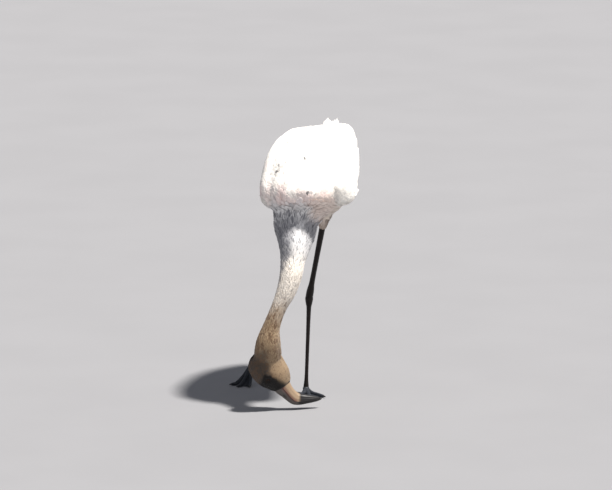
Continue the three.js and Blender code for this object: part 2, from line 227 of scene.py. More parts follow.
HEAD = Loft([(*from_head((x, 0, z)), *size) for x, z, *size in [
    (-106, -10, 6, 8, 8), (-101, -11, 19, 27, 25), (-88, -10, 26, 40, 38),
    (-68, -7, 27.5, 45, 44), (-48, -6, 27, 44, 42), (-28, -6, 24, 39, 38),
    (-12, -5, 19, 31, 31), (2, -4, 15.5, 22, 24),
]], side=lambda t: -LEFT, roundness=2.1)
NECK_ROOT = np.array([-12.0, -112.0, 474.0])
WING_STATIONS = [
    (72, -137, 508, 10, 16, 14), (77, -127, 510, 26, 34, 26), (84, -100, 517, 34, 52, 36),
    (82, -50, 534, 36, 74, 50), (78, 0, 550, 37, 81, 60), (70, 60, 563, 38, 82, 62),
    (60, 120, 576, 39, 74, 60), (50, 160, 583, 38, 64, 52), (38, 200, 589, 32, 50, 38),
    (25, 240, 594, 20, 32, 20), (16, 272, 597, 9, 12, 9),
]


def wing_loft(name, side):
    """A folded wing: the shared stations, changed by that wing's own set."""
    wing = WING_SET[name]
    rows = []
    for x, y, z, width, up, down in WING_STATIONS:
        drop = wing["droop"] * (1 - 0.6 * float(ramp(y, -60, 160)))
        turn = float(ramp(y, -105, 10))
        out = (wing["bend"] * (1 - turn) + wing["middle"] * turn) * (
            1 - float(ramp(y, 110, 230)))
        rows.append((side * (x + out), y, z - drop, width, up * wing["height"],
                     down * wing["height"]))
    return Loft(leaning(rows), side=lambda t: LEANING_SIDE, roundness=wing["roundness"])


WINGS = {"left": wing_loft("left", 1), "right": wing_loft("right", -1)}
LEGS = {"left": dict(knee=(46, -40, 498), ankle=(-13, 35, 240), joint=(-20, 30, 12)),
        "right": dict(knee=(-66, -40, 500), ankle=(-76, 80, 245), joint=(-174, 124, 45))}


def bone_line(leg, upper, share):
    """A point of the knee-ankle line, or of the ankle-toe-joint line."""
    start, end = (leg["knee"], leg["ankle"]) if upper else (leg["ankle"], leg["joint"])
    return np.array(start, float) + (np.array(end, float) - start) * share


def limb(leg, upper, rows):
    """A loft along one bone, through rows of a share of the bone and the sizes there."""
    return Loft([(*bone_line(leg, upper, share), *size) for share, *size in rows])


THIGHS = {name: limb(leg, True, [(-0.1, 30, 33, 33), (0.07, 26, 29, 29), (0.17, 18, 20, 20),
                                 (0.3, 8.8, 9.2, 9.2)]) for name, leg in LEGS.items()}


# ---- the coat's depth and the size of its feathers, by region ----
# name: (loft, [share, depth of the coat, feather length], part of the loft that the skin uses)
REGIONS = {
    "trunk": (TRUNK, [(0, 3.4, 17), (0.15, 4, 20), (0.35, 4.4, 23), (0.6, 4.4, 26),
                      (0.85, 3.6, 27), (1, 2.6, 24)], (0.05, 0.985)),
    "neck": (NECK, [(0, 4, 22), (0.2, 3.8, 17), (0.35, 3.2, 13.5), (0.5, 2.6, 11), (0.7, 2.2, 8.4),
                    (0.9, 1.8, 6.4), (1, 1.6, 5.6)], (0.0, 1.0)),
    "head": (HEAD, [(0, 1.6, 5.4), (0.3, 1.4, 4.8), (0.6, 1.1, 4.0), (0.85, 0.8, 3.1),
                    (0.94, 0.9, 2.8), (1, 3.0, 2.6)], (0.02, 1.0)),
    "wing_left": (WINGS["left"], [(0, 2.4, 10), (0.12, 3.2, 13), (0.3, 3.8, 18), (0.45, 4, 25),
                                  (0.6, 4, 32), (0.8, 3.6, 36), (0.92, 3, 26), (1, 2, 18)],
                  (0.04, 0.98)),
    "thigh_left": (THIGHS["left"], [(0, 3, 18), (0.5, 2.8, 16), (0.8, 1.8, 15), (1, 1.0, 13)],
                   (0.0, 0.99)),
}
REGIONS["wing_right"] = (WINGS["right"], *REGIONS["wing_left"][1:])
REGIONS["thigh_right"] = (THIGHS["right"], *REGIONS["thigh_left"][1:])
REGION_NAMES = list(REGIONS)


def in_regions(region, *names):
    """Which of the region numbers stand for one of the named regions."""
    return np.isin(region, [REGION_NAMES.index(name) for name in names])


def depth_of(region):
    rows = np.array(REGIONS[region][1])
    return lambda t: np.interp(t, rows[:, 0], rows[:, 1])


def length_of(region):
    rows = np.array(REGIONS[region][1])
    return lambda t: np.interp(t, rows[:, 0], rows[:, 2])


# ---- meshes ----
def mesh_of(name, points, faces, smooth=True):
    """A mesh object from maker's coordinates. faces is a list of index lists, or of equal-sided arrays."""
    mesh = bpy.data.meshes.new(name)
    blocks = [np.asarray(f) for f in faces] if isinstance(faces[0], np.ndarray) else None
    points = (np.asarray(points) + SHIFT) / 1000
    if blocks is None:
        mesh.from_pydata(points.tolist(), [], faces)
    else:
        sizes = np.concatenate([np.full(len(b), b.shape[1]) for b in blocks])
        corners = np.concatenate([b.ravel() for b in blocks])
        mesh.vertices.add(len(points))
        mesh.vertices.foreach_set("co", points.astype(np.float32).ravel())
        mesh.loops.add(len(corners))
        mesh.loops.foreach_set("vertex_index", corners.astype(np.int32))
        mesh.polygons.add(len(sizes))
        mesh.polygons.foreach_set("loop_start", (np.cumsum(sizes) - sizes).astype(np.int32))
    mesh.update(calc_edges=True)
    mesh.validate()
    flags = np.broadcast_to(smooth, len(mesh.polygons)).astype(bool)
    mesh.polygons.foreach_set("use_smooth", np.ascontiguousarray(flags))
    thing = bpy.data.objects.new(name, mesh)
    bpy.context.scene.collection.objects.link(thing)
    return thing


def corners_of(mesh):
    """The mesh's points in maker's coordinates."""
    co = np.empty(len(mesh.vertices) * 3, np.float32)
    mesh.vertices.foreach_get("co", co)
    return co.reshape(-1, 3).astype(float) * 1000 - SHIFT


def move_corners(mesh, points):
    mesh.vertices.foreach_set("co", ((points + SHIFT) / 1000).astype(np.float32).ravel())
    mesh.update()


def edges_of(mesh):
    pairs = np.empty(len(mesh.edges) * 2, np.int32)
    mesh.edges.foreach_get("vertices", pairs)
    return pairs.reshape(-1, 2)


def normals_of(mesh):
    out = np.empty(len(mesh.vertices) * 3, np.float32)
    mesh.vertex_normals.foreach_get("vector", out)
    return out.reshape(-1, 3).astype(float)


def spread(edges, values, rounds, strength=1.0, only=None):
    """Averages each point's value with its neighbours', rounds times."""
    values = np.array(values, float)
    flat = values.reshape(len(values), -1)
    ends = np.concatenate([edges[:, 0], edges[:, 1]])
    others = np.concatenate([edges[:, 1], edges[:, 0]])
    count = np.maximum(np.bincount(ends, minlength=len(flat)), 1)
    for turn in range(rounds):
        share = strength[turn % len(strength)] if isinstance(strength, tuple) else strength
        for column in range(flat.shape[1]):
            mean = np.bincount(ends, flat[others, column], minlength=len(flat)) / count
            change = share * (mean - flat[:, column])
            flat[:, column] += change if only is None else change * only
    return flat.reshape(values.shape)


EVEN_OUT = (0.55, -0.57)  # one step in and one step out, which smooths without shrinking
FOOT_EVEN_OUT, CLAW_EVEN_OUT = (0.5, -0.45), (0.5, -0.4)
SKIN_VOXEL, FOOT_VOXEL, CLAW_VOXEL = 2.6, 0.9, 0.35


def remeshed(thing, voxel):
    """The thing's mesh as one closed surface."""
    remesh = thing.modifiers.new("one_surface", "REMESH")
    remesh.mode = "VOXEL"
    remesh.voxel_size = voxel / 1000
    remesh.use_smooth_shade = True
    result = bpy.data.meshes.new_from_object(
        thing.evaluated_get(bpy.context.evaluated_depsgraph_get()))
    thing.modifiers.clear()
    thing.data = result
    return thing


def paint(mesh, colours, name="coat"):
    """Keeps a colour for each corner, which the materials read."""
    layer = mesh.color_attributes.new(name, "FLOAT_COLOR", "POINT")
    rgba = np.ones((len(mesh.vertices), 4), np.float32)
    rgba[:, :3] = np.clip(colours, 0, 1)
    layer.data.foreach_set("color", rgba.ravel())


def note(mesh, name, values):
    """Keeps a number or three for each corner, which the materials read."""
    values = np.asarray(values, np.float32)
    if values.ndim == 2:
        mesh.attributes.new(name, "FLOAT_VECTOR", "POINT").data.foreach_set(
            "vector", values.ravel())
    else:
        mesh.attributes.new(name, "FLOAT", "POINT").data.foreach_set("value", values)


def settle(thing, slot, *nodes):
    """The piece rides with the bird and stands for its solids."""
    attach(thing, "root")
    if nodes:
        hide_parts(*nodes)
    return thing


# ---- materials ----
class Finish:
    """A node material that is built up socket by socket."""

    def __init__(self, name, roughness=0.7, **sockets):
        self.material = bpy.data.materials.new(name)
        self.material.use_nodes = True
        self.nodes, self.links = self.material.node_tree.nodes, self.material.node_tree.links
        self.shader = self.nodes["Principled BSDF"]
        self.shader.inputs["Roughness"].default_value = roughness
        for socket, value in sockets.items():
            self.shader.inputs[socket.replace("_", " ")].default_value = value

    def node(self, kind, settings=None, **inputs):
        made = self.nodes.new("ShaderNode" + kind)
        for key, value in (settings or {}).items():
            setattr(made, key, value)
        for key, value in inputs.items():
            socket = made.inputs[int(key[1:]) if key[1:].isdigit() and key[0] == "i" else
                                 key.replace("_", " ")]
            if isinstance(value, bpy.types.NodeSocket):
                self.links.new(value, socket)
            else:
                socket.default_value = value
        return made

    def attribute(self, name):
        return self.node("Attribute", dict(attribute_name=name)).outputs

    def math(self, operation, a, b=None, c=None):
        given = {f"i{k}": v for k, v in enumerate((a, b, c)) if v is not None}
        return self.node("Math", dict(operation=operation), **given).outputs[0]

    def between(self, value, low, high, start=0.0, end=1.0):
        return self.node("MapRange", dict(interpolation_type="SMOOTHSTEP"), i0=value, i1=low,
                         i2=high, i3=start, i4=end).outputs[0]

    def blend(self, share, a, b, way="MIX"):
        made = self.node("Mix", dict(data_type="RGBA", blend_type=way))
        for socket, value in ((0, share), (6, a), (7, b)):
            if isinstance(value, bpy.types.NodeSocket):
                self.links.new(value, made.inputs[socket])
            else:
                made.inputs[socket].default_value = value
        return made.outputs[2]

    def shaded(self, shade):
        """The painted colour times a grey shade."""
        tint = self.node("CombineColor", i0=shade, i1=shade, i2=shade).outputs[0]
        return self.blend(1.0, self.attribute("coat")["Color"], tint, "MULTIPLY")

    def noise(self, scale, detail=3.0, vector=None):
        given = dict(Scale=scale, Detail=detail)
        if vector is None:
            vector = self.node("TexCoord").outputs["Object"]
        return self.node("TexNoise", Vector=vector, **given).outputs["Fac"]

    def finish(self, colour=None, roughness=None, height=None, depth=0.0004, strength=0.5):
        if colour is not None:
            self.links.new(colour, self.shader.inputs["Base Color"])
        if roughness is not None:
            self.links.new(roughness, self.shader.inputs["Roughness"])
        if height is not None:
            bump = self.node("Bump", Strength=strength, Distance=depth, Height=height)
            self.links.new(bump.outputs[0], self.shader.inputs["Normal"])
        return self.material


def rgba(colour):
    return (*[float(c) for c in colour], 1.0)


def feather_finish(name, streak, barb=0.8, roughness=0.62, gloss=0.25):
    """Vanes with fine barbs that slope off a darker shaft line."""
    made = Finish(name, Specular_IOR_Level=gloss, Sheen_Weight=0.2, Sheen_Roughness=0.5)
    along, across, chance = made.node("SeparateXYZ",
                                      Vector=made.attribute("vane")["Vector"]).outputs
    away = made.math("ABSOLUTE", across)
    slope = made.math("SUBTRACT", along, made.math("MULTIPLY", away, 1.1))
    run = made.node("CombineXYZ", X=made.math("MULTIPLY", slope, 1.6 / barb),
                    Y=made.math("MULTIPLY", away, 0.16), Z=made.math("MULTIPLY", chance, 61.0))
    barbs = made.noise(1.0, 4.0, run.outputs[0])
    patch = made.noise(260.0, 3.0)
    shade = made.between(patch, 0.3, 0.75, 0.9, 1.03)
    lined = made.math("MULTIPLY", shade, made.between(barbs, 0.25, 0.75, 0.9, 1.05))
    toned = made.math("MULTIPLY", lined, made.between(chance, 0.0, 1.0, 0.96, 1.03))
    plain = made.shaded(toned)
    width = made.attribute("streak")["Fac"]
    line = made.math("SUBTRACT", 1.0, made.math("DIVIDE", away, made.math("ADD", width, 0.001)))
    colour = made.blend(made.between(line, 0.0, 0.9, 0.0, 0.85), plain, rgba(streak))
    rough = made.between(patch, 0.25, 0.8, roughness - 0.06, roughness + 0.12)
    return made.finish(colour, rough, made.math("MULTIPLY_ADD", barbs, 0.7, patch), 0.0002, 0.4)


# ---- markings, shared by the skin and the coat ----
# small dark marks on the white breast, and from where to where each fades out
FLECKS = np.array([(-61, -123, 574), (-63, -131, 565), (16, -175, 521), (-3, -119, 597)], float)
FLECK_EDGE = (5, 8)


def even(look, name, places):
    """One of the coat's colours, once for each place."""
    return np.tile(np.array(getattr(look, name)), (len(places), 1))


def tawny(look, points):
    """The pale tawny pink of the left side of the breast and of the thighs."""
    stained = mix(even(look, "buff", points), np.array(look.blush), 0.45)
    return mix(stained, np.array(look.white), 0.45)


def left_of_breast(points):
    """1 on the left side of the breast and of the neck's base, with an uneven edge."""
    return ramp(points[:, 0] + 12 * (grain(points, 12, 4) - 0.5), 4, 24)


def head_unevenness(points):
    """How far the edges of the head's marks wander, in millimetres."""
    return 8 * (grain(points, 6, 8) - 0.5)


def ashy_and_shaded_side(points):
    """The ash-grey side of the head, partly its grey-brown plumage and partly painted shade, which reaches
    a little way up the neck.
    """
    hx, _, hz = to_head(points).T
    uneven = head_unevenness(points)
    return ramp(hz + 24 - 0.45 * (hx + 100) + uneven, -5, 6) * (1 - ramp(hz, 30, 44)) * ramp(
        hx + uneven, -122, -100)


def body_marks(look, points, _):
    """White plumage with a pink wash, a buff belly, a grey and tawny band under the breast's edge that is
    partly painted shade, and dark flecks.
    """
    x, y, z = points.T
    base, dark = even(look, "white", points), even(look, "dusk", points)
    patchy = ramp(grain(points, 15, 3) + 0.3 * grain(points, 5, 7), 0.35, 0.95)
    # the pink wash is on the breast and inside the bend of the right wing
    breast = ramp(-y, 95, 125) * ramp(z, 470, 492) * (1 - ramp(z, 522, 548)) * (
        1 - ramp(x, 55, 70))
    bend = 1 - ramp(np.linalg.norm((points - (-86, -70, 566)) / (16, 34, 30), axis=1), 0.5, 1.2)
    wash = np.clip(breast + bend, 0, 1) * patchy
    base = mix(base, np.array(look.blush), wash * 0.5)
    # a buff tint low on the front of the belly
    belly = (1 - ramp(z, 476, 506)) * ramp(y, -150, -100)
    base = mix(base, np.array(look.buff), belly * 0.45)
    share = 0.02 + 0.05 * ramp(y, -60, 160)
    # under the breast's edge the colour is grey on the right and tawny pink on the left: partly the
    # plumage's own colour, partly painted shade where the breast turns under
    under = ramp(-y, 100, 130) * (1 - ramp(z - 0.2 * x + 8 * patchy, 502, 516)) * (
        1 - ramp(x, 58, 74))
    left = left_of_breast(points)
    breast_tone = mix(even(look, "grey", points), tawny(look, points), left)
    base = mix(base, breast_tone, under * 0.85)
    share = np.maximum(share, 0.26 * under * (1 - left))
    for fleck in FLECKS:
        near = 1 - ramp(np.linalg.norm(points - fleck, axis=1), *FLECK_EDGE)
        share = np.maximum(share, near)
        dark = mix(dark, np.array(look.mask), near)
    return base, dark, share


def neck_marks(look, points, t):
    """Grey at the base, cream in the middle and tan above, with streaks, and painted shade down its sides.
    """
    left = left_of_breast(points)
    base = mix(even(look, "grey", points), np.array(look.cream), ramp(t, 0.36, 0.5))
    base = mix(base, np.array(look.tan),
               ramp(t + 0.05 * (grain(points, 14, 5) - 0.5), 0.6, 0.76))
    # the tawny pink under the breast's edge goes on over the neck's base: partly its own colour, partly
    # painted shade
    base = mix(base, tawny(look, points), 0.85 * left * (1 - ramp(t, 0.1, 0.24)))
    dark = mix(even(look, "dusk", points), np.array(look.brown), ramp(t, 0.5, 0.7))
    share = np.interp(t, [0, 0.2, 0.32, 0.42, 0.5, 0.6, 0.7, 1],
                      [0.4, 0.42, 0.3, 0.2, 0.1, 0.16, 0.45, 0.45])
    share = share * (1 - 0.8 * left * (1 - ramp(t, 0.14, 0.26)))
    # from -1 at the right edge of the neck to 1 at its left edge
    aside = (points[:, 0] - curve(NECK.line, t)[:, 0]) / curve(NECK.size, t)[:, 0]
    # the streaks grow denser towards the right side of the neck: partly its streaked plumage, partly
    # painted shade on that side
    thin = ramp(t, 0.16, 0.24) * (1 - ramp(t, 0.5, 0.6))
    share = share * (1 + thin * (0.5 - 1.1 * ramp(aside, -0.6, 0.2)))
    # painted shade: the dusk colour runs down both sides of the neck, farther on the right, and narrows
    # away
    border = np.interp(t, [0.15, 0.22, 0.29, 0.42, 0.5, 0.6], [0.6, 0.3, 0.1, -0.1, -0.45, -1.3])
    outer_border = np.interp(t, [0.16, 0.24, 0.32, 0.4], [0.2, 0.4, 0.75, 1.3])
    ragged = 0.9 * (grain(points, 9, 6) - 0.5) + 0.5 * (grain(points, 3.5, 9) - 0.5)
    painted_side_shade = (1 - ramp(aside - border + ragged, -0.25, 0.1)) * ramp(t, 0.15, 0.25) * (1 - left)
    painted_side_shade = np.maximum(painted_side_shade, ramp(aside - outer_border + ragged, -0.1, 0.2) * ramp(t, 0.15, 0.22))
    base = mix(base, np.array(look.dusk), 0.82 * painted_side_shade)
    # the head's ash grey, partly painted shade, reaches onto the top of the neck
    base = mix(base, np.array(look.ash), 0.75 * ashy_and_shaded_side(points))
    return base, dark, share


def head_marks(look, points, _):
    """Tan cheeks, a brown crown, an ash-grey side that is partly painted shade, and a black wedge round
    the eye that is painted shade over dusky lores.
    """
    hx, _, hz = to_head(points).T
    base = mix(even(look, "tan", points), np.array(look.brown), ramp(hz, -16, 8))
    # ash grey on the side of the head: partly plumage, partly painted shade
    base = mix(base, np.array(look.ash), 0.85 * ashy_and_shaded_side(points))
    # painted shade over the dusky lores: a black wedge runs from behind the eye to the bill
    uneven = head_unevenness(points)
    wedge = ramp(hz - 8 + 0.4 * (hx + 56) + uneven, -3, 3) * ramp(hx + uneven, -64, -54)
    mask = wedge * (1 - ramp(hz - 30 - 1.2 * (hx + 46), -5, 5))
    base = mix(base, np.array(look.mask), mask)
    dark = even(look, "brown", points) * 0.75
    return base, dark, (0.3 + 0.15 * ramp(-hx, 50, 80)) * (1 - mask)


def thigh_marks(look, points, t):
    """Tawny, darker and browner towards the bare leg as painted shade under the body, and a dark line down
    the left thigh's outer side.
    """
    base = mix(even(look, "white", points), tawny(look, points), 0.75)
    # painted shade: the thigh darkens and browns towards the bare leg, under the body
    base = mix(base, np.array(look.brown), 0.6 * ramp(t, 0.6, 0.95))
    x, _, z = points.T
    knee, ankle = LEGS["left"]["knee"], LEGS["left"]["ankle"]
    bone = knee[0] - (knee[0] - ankle[0]) * (knee[2] - z) / (knee[2] - ankle[2])
    # a dark line down the left thigh's outer side
    outer = ramp(x - bone, 6, 12) * ramp(t, 0.25, 0.5) * (x > 0)
    base = mix(base, np.array(look.brown) * 0.5, 0.85 * outer)
    return base, even(look, "dusk", points), np.full(len(points), 0.06)


MARKS = ((body_marks, ("trunk", "wing_left", "wing_right")), (neck_marks, ("neck",)),
         (head_marks, ("head",)), (thigh_marks, ("thigh_left", "thigh_right")))


def markings(look, points, region, t):
    """Base colour, darker second colour and how much of it shows, at points of each region."""
    base, dark = np.zeros((len(points), 3)), np.zeros((len(points), 3))
    share = np.zeros(len(points))
    for marks, names in MARKS:
        here = in_regions(region, *names)
        base[here], dark[here], share[here] = marks(look, points[here], t[here])
    return base, dark, share


# ---- the skin and the lie of its coat ----
class Hide:
    """The finished skin as triangles, with the coat's lie, size and colour at each corner."""

    def __init__(self, thing, look):
        mesh = thing.data
        self.points = corners_of(mesh)
        edges = edges_of(mesh)
        mesh.calc_loop_triangles()
        corners = np.empty(len(mesh.loop_triangles) * 3, np.int32)
        mesh.loop_triangles.foreach_get("vertices", corners)
        self.triangles = corners.reshape(-1, 3)
        self.tree = BVHTree.FromPolygons(self.points.tolist(), self.triangles.tolist())
        self.normals = unit(spread(edges, normals_of(mesh), 4))
        self.region, self.t, self.angle = nearest_region(self.points)
        lie = np.zeros_like(self.points)
        depth, length = np.zeros(len(self.points)), np.zeros(len(self.points))
        for index, name in enumerate(REGION_NAMES):
            here = self.region == index
            if not here.any():
                continue
            along = REGIONS[name][0].frame(self.t[here])[0]
            lie[here] = -along if name in ("neck", "head") else along
            depth[here] = depth_of(name)(self.t[here])
            length[here] = length_of(name)(self.t[here])
        # round the root of the neck the coat spreads from it over the breast and the belly
        away = self.points - NECK_ROOT
        spreads = in_regions(self.region, "trunk") * (
            1 - ramp(np.linalg.norm(away, axis=1), 95, 165))
        lie = mix(lie, unit(away - dot(away, self.normals) * self.normals), spreads)
        # round the bend of the wing it starts upwards
        wing = in_regions(self.region, "wing_left", "wing_right")
        lie += 0.8 * Z * (wing * (1 - ramp(self.t, 0.1, 0.24)))[:, None]
        lie = unit(spread(edges, lie, 20))
        flat = spread(edges, lie - dot(lie, self.normals) * self.normals, 10)
        self.hold = np.linalg.norm(flat, axis=1)
        self.lie = unit(flat)
        self.depth = spread(edges, depth, 14)
        self.length = spread(edges, length, 14)
        base, dark, share = markings(look, self.points, self.region, self.t)
        self.base, self.dark = spread(edges, base, 5), spread(edges, dark, 5)
        self.share = spread(edges, share, 5)
        a, b, c = (self.points[self.triangles[:, k]] for k in range(3))
        self.area = np.linalg.norm(np.cross(b - a, c - a), axis=1) / 2

    def spots(self, triangle, weights):
        """The coat's values at places given by triangle and corner weights."""
        at = lambda field: np.einsum("nk,nk...->n...", weights, field[self.triangles[triangle]])
        main = self.triangles[triangle, np.argmax(weights, axis=1)]
        return dict(point=at(self.points), normal=unit(at(self.normals)), lie=unit(at(self.lie)),
                    depth=at(self.depth), length=at(self.length), base=at(self.base),
                    dark=at(self.dark), share=at(self.share), hold=at(self.hold),
                    region=self.region[main], t=self.t[main], angle=self.angle[main])

    def below(self, points):
        """The nearest place of the skin to each point, with its triangle."""
        found, triangle = np.empty((len(points), 3)), np.empty(len(points), int)
        for k, point in enumerate(points):
            place, _, index, _ = self.tree.find_nearest(Vector(point))
            found[k], triangle[k] = place, index
        return found, triangle

    def spots_below(self, points):
        found, triangle = self.below(points)
        result = self.spots(triangle, np.full((len(points), 3), 1 / 3))
        result["point"] = found
        return result


def nearest_region(points):
    """Index of the region's loft nearest to each point, with its share and angle there."""
    samples = []
    for index, (loft, _, (start, end)) in enumerate(REGIONS.values()):
        rings, sides = (110, 44) if index < 3 else (60, 36)
        inset = depth_of(REGION_NAMES[index])
        t, angle, surface = loft.grid(rings, sides, start, end, inset)
        samples.append(np.column_stack([surface, np.full(len(t), index), t, angle]))
    samples = np.concatenate(samples)
    tree = KDTree(len(samples))
    for k, row in enumerate(samples[:, :3].tolist()):
        tree.insert(row, k)
    tree.balance()
    near = np.array([tree.find(p)[1] for p in points.tolist()])
    return samples[near, 3].astype(int), samples[near, 4], samples[near, 5]


def skin_surface():
    """The masses joined to one smooth surface that lies under the coat."""
    points, faces = [], []
    for name, (loft, _, (start, end)) in REGIONS.items():
        rings, sides = {"neck": (90, 40), "head": (60, 40)}.get(name, (60, 44))
        more, sheets = loft.shell(rings, sides, start, end, depth_of(name))
        base = sum(len(p) for p in points)
        points.append(more)
        faces += [[k + base for k in sheet] for sheet in sheets]
    thing = mesh_of("skin", np.concatenate(points), faces)
    remeshed(thing, SKIN_VOXEL)
    edges = edges_of(thing.data)
    move_corners(thing.data, spread(edges, corners_of(thing.data), 24, EVEN_OUT))
    fill_grooves(thing.data, edges, rounds=200, most=9.0)
    return thing


GROOVE_REFRESH = 10  # rounds between two readings of the surface's normals


def fill_grooves(mesh, edges, rounds, most):
    """Raises the bottoms of the creases between the masses, by most at the deepest."""
    start = corners_of(mesh)
    raised = np.zeros(len(start))
    for turn in range(rounds):
        if turn % GROOVE_REFRESH == 0:
            if turn:
                move_corners(mesh, start + normals * raised[:, None])
            points, normals = corners_of(mesh), normals_of(mesh)
            start = points - normals * raised[:, None]
        points = start + normals * raised[:, None]
        hollow = dot(spread(edges, points, 1) - points, normals)[:, 0] - 0.012
        raised = np.clip(raised + 0.9 * np.maximum(hollow, 0), 0, most)
    raised = spread(edges, raised, 3)
    move_corners(mesh, start + normals * raised[:, None])


def split_near(mesh, centre, radius):
    """Doubles the mesh's fineness within radius of a place."""
    work = bmesh.new()
    work.from_mesh(mesh)
    middle = (np.array(centre) + SHIFT) / 1000
    near = [e for e in work.edges
            if ((e.verts[0].co + e.verts[1].co) / 2 - Vector(middle)).length < radius / 1000]
    bmesh.ops.subdivide_edges(work, edges=near, cuts=1, use_grid_fill=True)
    bmesh.ops.triangulate(work, faces=[f for f in work.faces if len(f.verts) > 4])
    work.to_mesh(mesh)
    work.free()
    mesh.update()


LID_REFINED = (26, 16, 11)  # within these distances of an eye the mesh is split, one after another
# half the opening, the lid's stand off the eye, its rim's height and breadth, how far it spreads
LID = dict(opening=4.5, stand=0.55, rim=0.35, breadth=0.8, reach=12.0)


def shape_lids(mesh):
    """Raises the skin round each eye into a pair of lids with a thick rim."""
    for name, eye in EYES.items():
        for radius in LID_REFINED:
            split_near(mesh, eye, radius)
            points, edges = corners_of(mesh), edges_of(mesh)
            near = 1 - ramp(np.linalg.norm(points - eye, axis=1), radius - 5, radius + 3)
            move_corners(mesh, spread(edges, points, 6, EVEN_OUT, only=near))
        points = corners_of(mesh)
        out = eye_axis(name)
        offset = points - eye
        height = offset @ out
        flat = offset - height[:, None] * out
        away = np.linalg.norm(flat, axis=1)
        # the opening is a little longer towards the bill than it is high
        forward = unit(FORWARD - out * (FORWARD @ out))
        aim = (flat @ forward) / np.maximum(away, 1e-6)
        opening = LID["opening"] * (1 + 0.10 * np.abs(aim) ** 2 - 0.04)
        cover = EYE_RADIUS + LID["stand"] + LID["rim"] * np.exp(
            -((away - opening - 0.9) / LID["breadth"]) ** 2)
        dome = np.sqrt(np.maximum(cover**2 - away**2, 0.0))
        dome = np.where(away > cover * 0.93, 0, dome)
        rise = 1 - ramp(away, 5.6, LID["reach"])
        target = np.maximum(height, dome * rise + height * (1 - rise))
        inside = ramp(opening - away, -0.25, 0.35)
        target = mix(target[:, None], np.full((len(away), 1), EYE_RADIUS * 0.45), inside)[:, 0]
        close = (away < LID["reach"] + 2) & (height > -6)
        moved = eye + flat + target[:, None] * out
        move_corners(mesh, np.where(close[:, None], moved, points))


HIDE = {}  # the finished skin, which the plumage is laid on


def finished_hide():
    """The skin, which has to be there before any plumage."""
    if "skin" not in HIDE:
        raise RuntimeError("The skin has to be made before its plumage")
    return HIDE["skin"]


# the share of the wanted roots that can fit, and how many places are tried for each
PACKING, TRIES = 0.75, 5


def sample_roots(hide, spacing, rng, keep):
    """Evenly scattered roots, spacing times a feather's length apart."""
    gap = spacing(hide)
    triangle_gap = gap[hide.triangles].mean(1)
    weight = hide.area / triangle_gap**2
    weight[~keep(hide)[hide.triangles].any(1)] = 0
    count = int(weight.sum() * PACKING * TRIES)
    triangle = rng.choice(len(weight), count, p=weight / weight.sum())
    a, b = np.sqrt(rng.random(count)), rng.random(count)
    weights = np.column_stack([1 - a, a * (1 - b), a * b])
    points = np.einsum("nk,nkc->nc", weights, hide.points[hide.triangles[triangle]])
    reach = np.einsum("nk,nk->n", weights, gap[hide.triangles[triangle]])
    tree = KDTree(count)
    for k, point in enumerate(points.tolist()):
        tree.insert(point, k)
    tree.balance()
    alive = np.ones(count, bool)
    chosen = []
    places, reaches = points.tolist(), reach.tolist()
    for k in range(count):
        if alive[k]:
            chosen.append(k)
            for _, other, _ in tree.find_range(places[k], reaches[k]):
                alive[other] = False
    return hide.spots(triangle[chosen], weights[chosen])


# ---- feathers ----
OUTLINES = {
    "body": ([0, 0.15, 0.4, 0.62, 0.8, 0.92, 1], [0.2, 0.6, 0.92, 1.0, 0.93, 0.7, 0.34]),
    "soft": ([0, 0.2, 0.45, 0.65, 0.82, 0.93, 1], [0.25, 0.7, 1.0, 0.95, 0.72, 0.45, 0.16]),
    "blade": ([0, 0.1, 0.3, 0.6, 0.82, 0.93, 1], [0.3, 0.7, 0.95, 1.0, 0.9, 0.66, 0.24]),
    "lance": ([0, 0.15, 0.4, 0.6, 0.8, 0.93, 1], [0.3, 0.75, 1.0, 0.92, 0.62, 0.32, 0.08]),
}


def along_spine(values, u):
    """Smoothly resampled rows of each spine's values, at shares u."""
    count = values.shape[1]
    place = np.clip(u, 0, 1) * (count - 1)
    first = np.minimum(place.astype(int), count - 2)
    w = (place - first)[None, :, None]
    ends = np.concatenate([2 * values[:, :1] - values[:, 1:2], values,
                           2 * values[:, -1:] - values[:, -2:-1]], axis=1)
    a, b, c, d = (ends[:, first + k] for k in range(4))
    leave, arrive = 0.5 * (c - a), 0.5 * (d - b)
    return b + leave * w + (3 * (c - b) - 2 * leave - arrive) * w**2 + (
        2 * (b - c) + leave + arrive) * w**3


TIP_CROWDING = 1.25  # how much closer a vane's rows lie towards its tip
ROLL = 0.09  # how far the vanes roll about their spines at random
# half the breadth of a vane's place on the map, and how far its end faces' middles are raised
MAP_PATCH, MAP_RAISE = 0.0015, 0.0006
SOFTNESS = 0.55  # how far a vane's shading follows its own spine's normal


